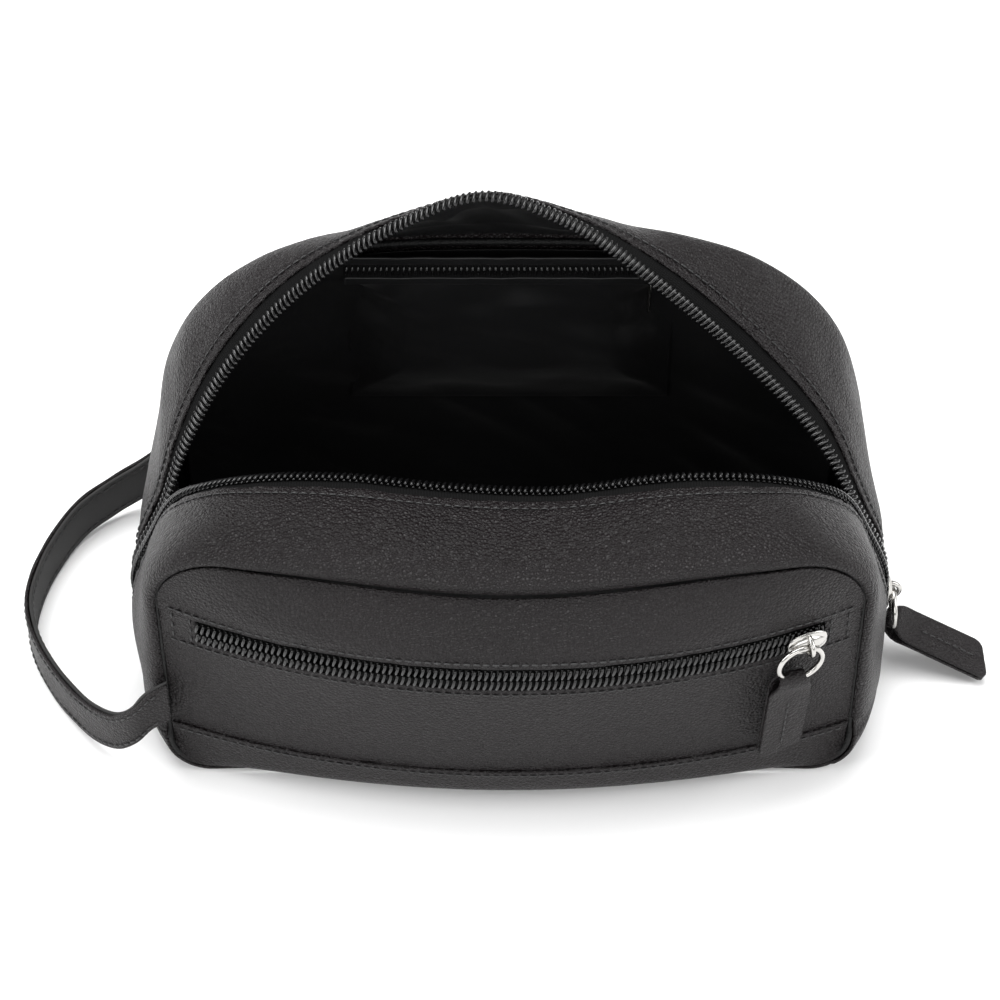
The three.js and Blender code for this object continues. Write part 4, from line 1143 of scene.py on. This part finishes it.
def folded_tab(name, placing):
    turn = np.linspace(0, 1, 90)[:, None]
    across = np.linspace(-1, 1, 27)[None]
    past = np.maximum(0, np.abs(across * PULL_HALF) - (PULL_HALF - PULL_CORNER))
    slant = PULL_LENGTH - 5 * (across + 1) / 2
    reach = slant - (PULL_CORNER - np.sqrt(np.maximum(0, PULL_CORNER ** 2 - past ** 2)))
    half_turn = 7.2
    flat_run = reach - 3
    s = turn * (2 * flat_run + half_turn)
    first = s < flat_run
    last = s > flat_run + half_turn
    bend = np.clip((s - flat_run) / half_turn, 0, 1) * np.pi
    x = np.where(first, reach - s, np.where(last, 3 + (s - flat_run - half_turn), 3 - 5.3 * np.sin(bend)))
    swell = PULL_LAYER + (2.35 - PULL_LAYER) * np.exp(-(np.maximum(x, 0) / 3.6) ** 2)
    z = np.where(first, -swell, np.where(last, swell, -swell * np.cos(bend)))
    width = PULL_HALF * (1 - 0.38 * np.exp(-(np.maximum(x + 1.8, 0) / 3.6) ** 2))
    groove_dip = 0.22 * np.exp(-(across / 0.09) ** 2) * np.clip((x - 8) / 3, 0, 1)
    z = z - np.sign(z) * groove_dip
    x, y, z = np.broadcast_arrays(x, across * width, z)
    grid = np.stack([x, y, z], axis=-1)
    normals = normals_of(grid)
    if normals[2, 13, 2] > 0:
        normals = -normals
    origin, axes = local_frame(placing)
    piece = shell(name, grid @ axes + origin, normals @ axes, 1.15, tab_leather, top=PULL_LAYER, edge=0.45)
    rows = []
    for way in (1, -1):
        xs = np.linspace(12, PULL_LENGTH - 8, 20)
        line = np.stack([xs, np.zeros(20), np.full(20, way * (2 * PULL_LAYER - 0.2))], axis=-1)
        rows.append((line @ axes + origin, axes[2] * way))
    return piece, repeated(name + "_stitches", rows, 2.6, stitch, thread)


def rides(piece, slot, link, *nodes):
    if nodes:
        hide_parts(*nodes)
    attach(piece, link)


def puller(name, origin, along, out, hang, tab, tab_out, across):
    """A slider on its zip with the ring in its bail and the tab on the ring."""
    origin, out = np.array(origin, float), np.array(out, float)
    slider = put_together(name + "_slider_body", slider_parts(across), (origin, along, out), nickel)
    rides(slider, "nickel", name + "_slider", name + "_slider")
    seat = origin + out * 4.3
    ring = put_together(name + "_ring_wire", ring_parts(), (seat, hang, out), nickel)
    rides(ring, "nickel", name + "_ring", name + "_ring")
    foot = seat + unit(np.array(hang, float)) * (2 * RING_RADIUS)
    folded, stitches = folded_tab(name + "_tab", (foot, tab, tab_out))
    rides(folded, "leather", name + "_pull", name + "_pull")
    rides(stitches, "leather", name + "_pull")


POCKET_SLIDER_X = 96
turn = math.asin(POCKET_SLIDER_X / FRONT_BOW)
out = np.array([math.sin(turn), -math.cos(turn), 0])
along = np.array([math.cos(turn), math.sin(turn), 0])
down = np.array([0, 0, -1.0])
puller("pocket", (POCKET_SLIDER_X, FRONT_BOW * (1 - math.cos(turn)) - FRONT_REACH, ZIP_HEIGHT), along, out,
       down - 0.42 * along - 0.03 * out, down - 0.06 * along, out, True)
puller("main", (LIP_X, ZIP_Y, 31), (0, 0, 1), (1, 0, 0), (0.08, -0.1, -1), (0.9, -0.24, -0.355),
       (0.36, -0.1, 0.93), False)
tag_path = [(0, -0.4, 0.9), (0, -1.2, 1.7), (0, -4, 1.9), (0, -14, 1.9), (0, -15.4, 1.7)]
inner_slider = put_together("inner_slider_body", [
    plate(9, 6.4, -0.7, 0.7, 0.3), tube(tag_path, 2.0, 12, up=(1, 0, 0), squash=0.4),
], ((INNER_HALF - 9, INNER_Y - 1.4, INNER_Z), (1, 0, 0), (0, -1, 0)), nickel)
rides(inner_slider, "nickel", "inner_slider", "inner_pocket_slider")
bpy.data.objects.remove(stitch)

bpy.context.view_layer.update()
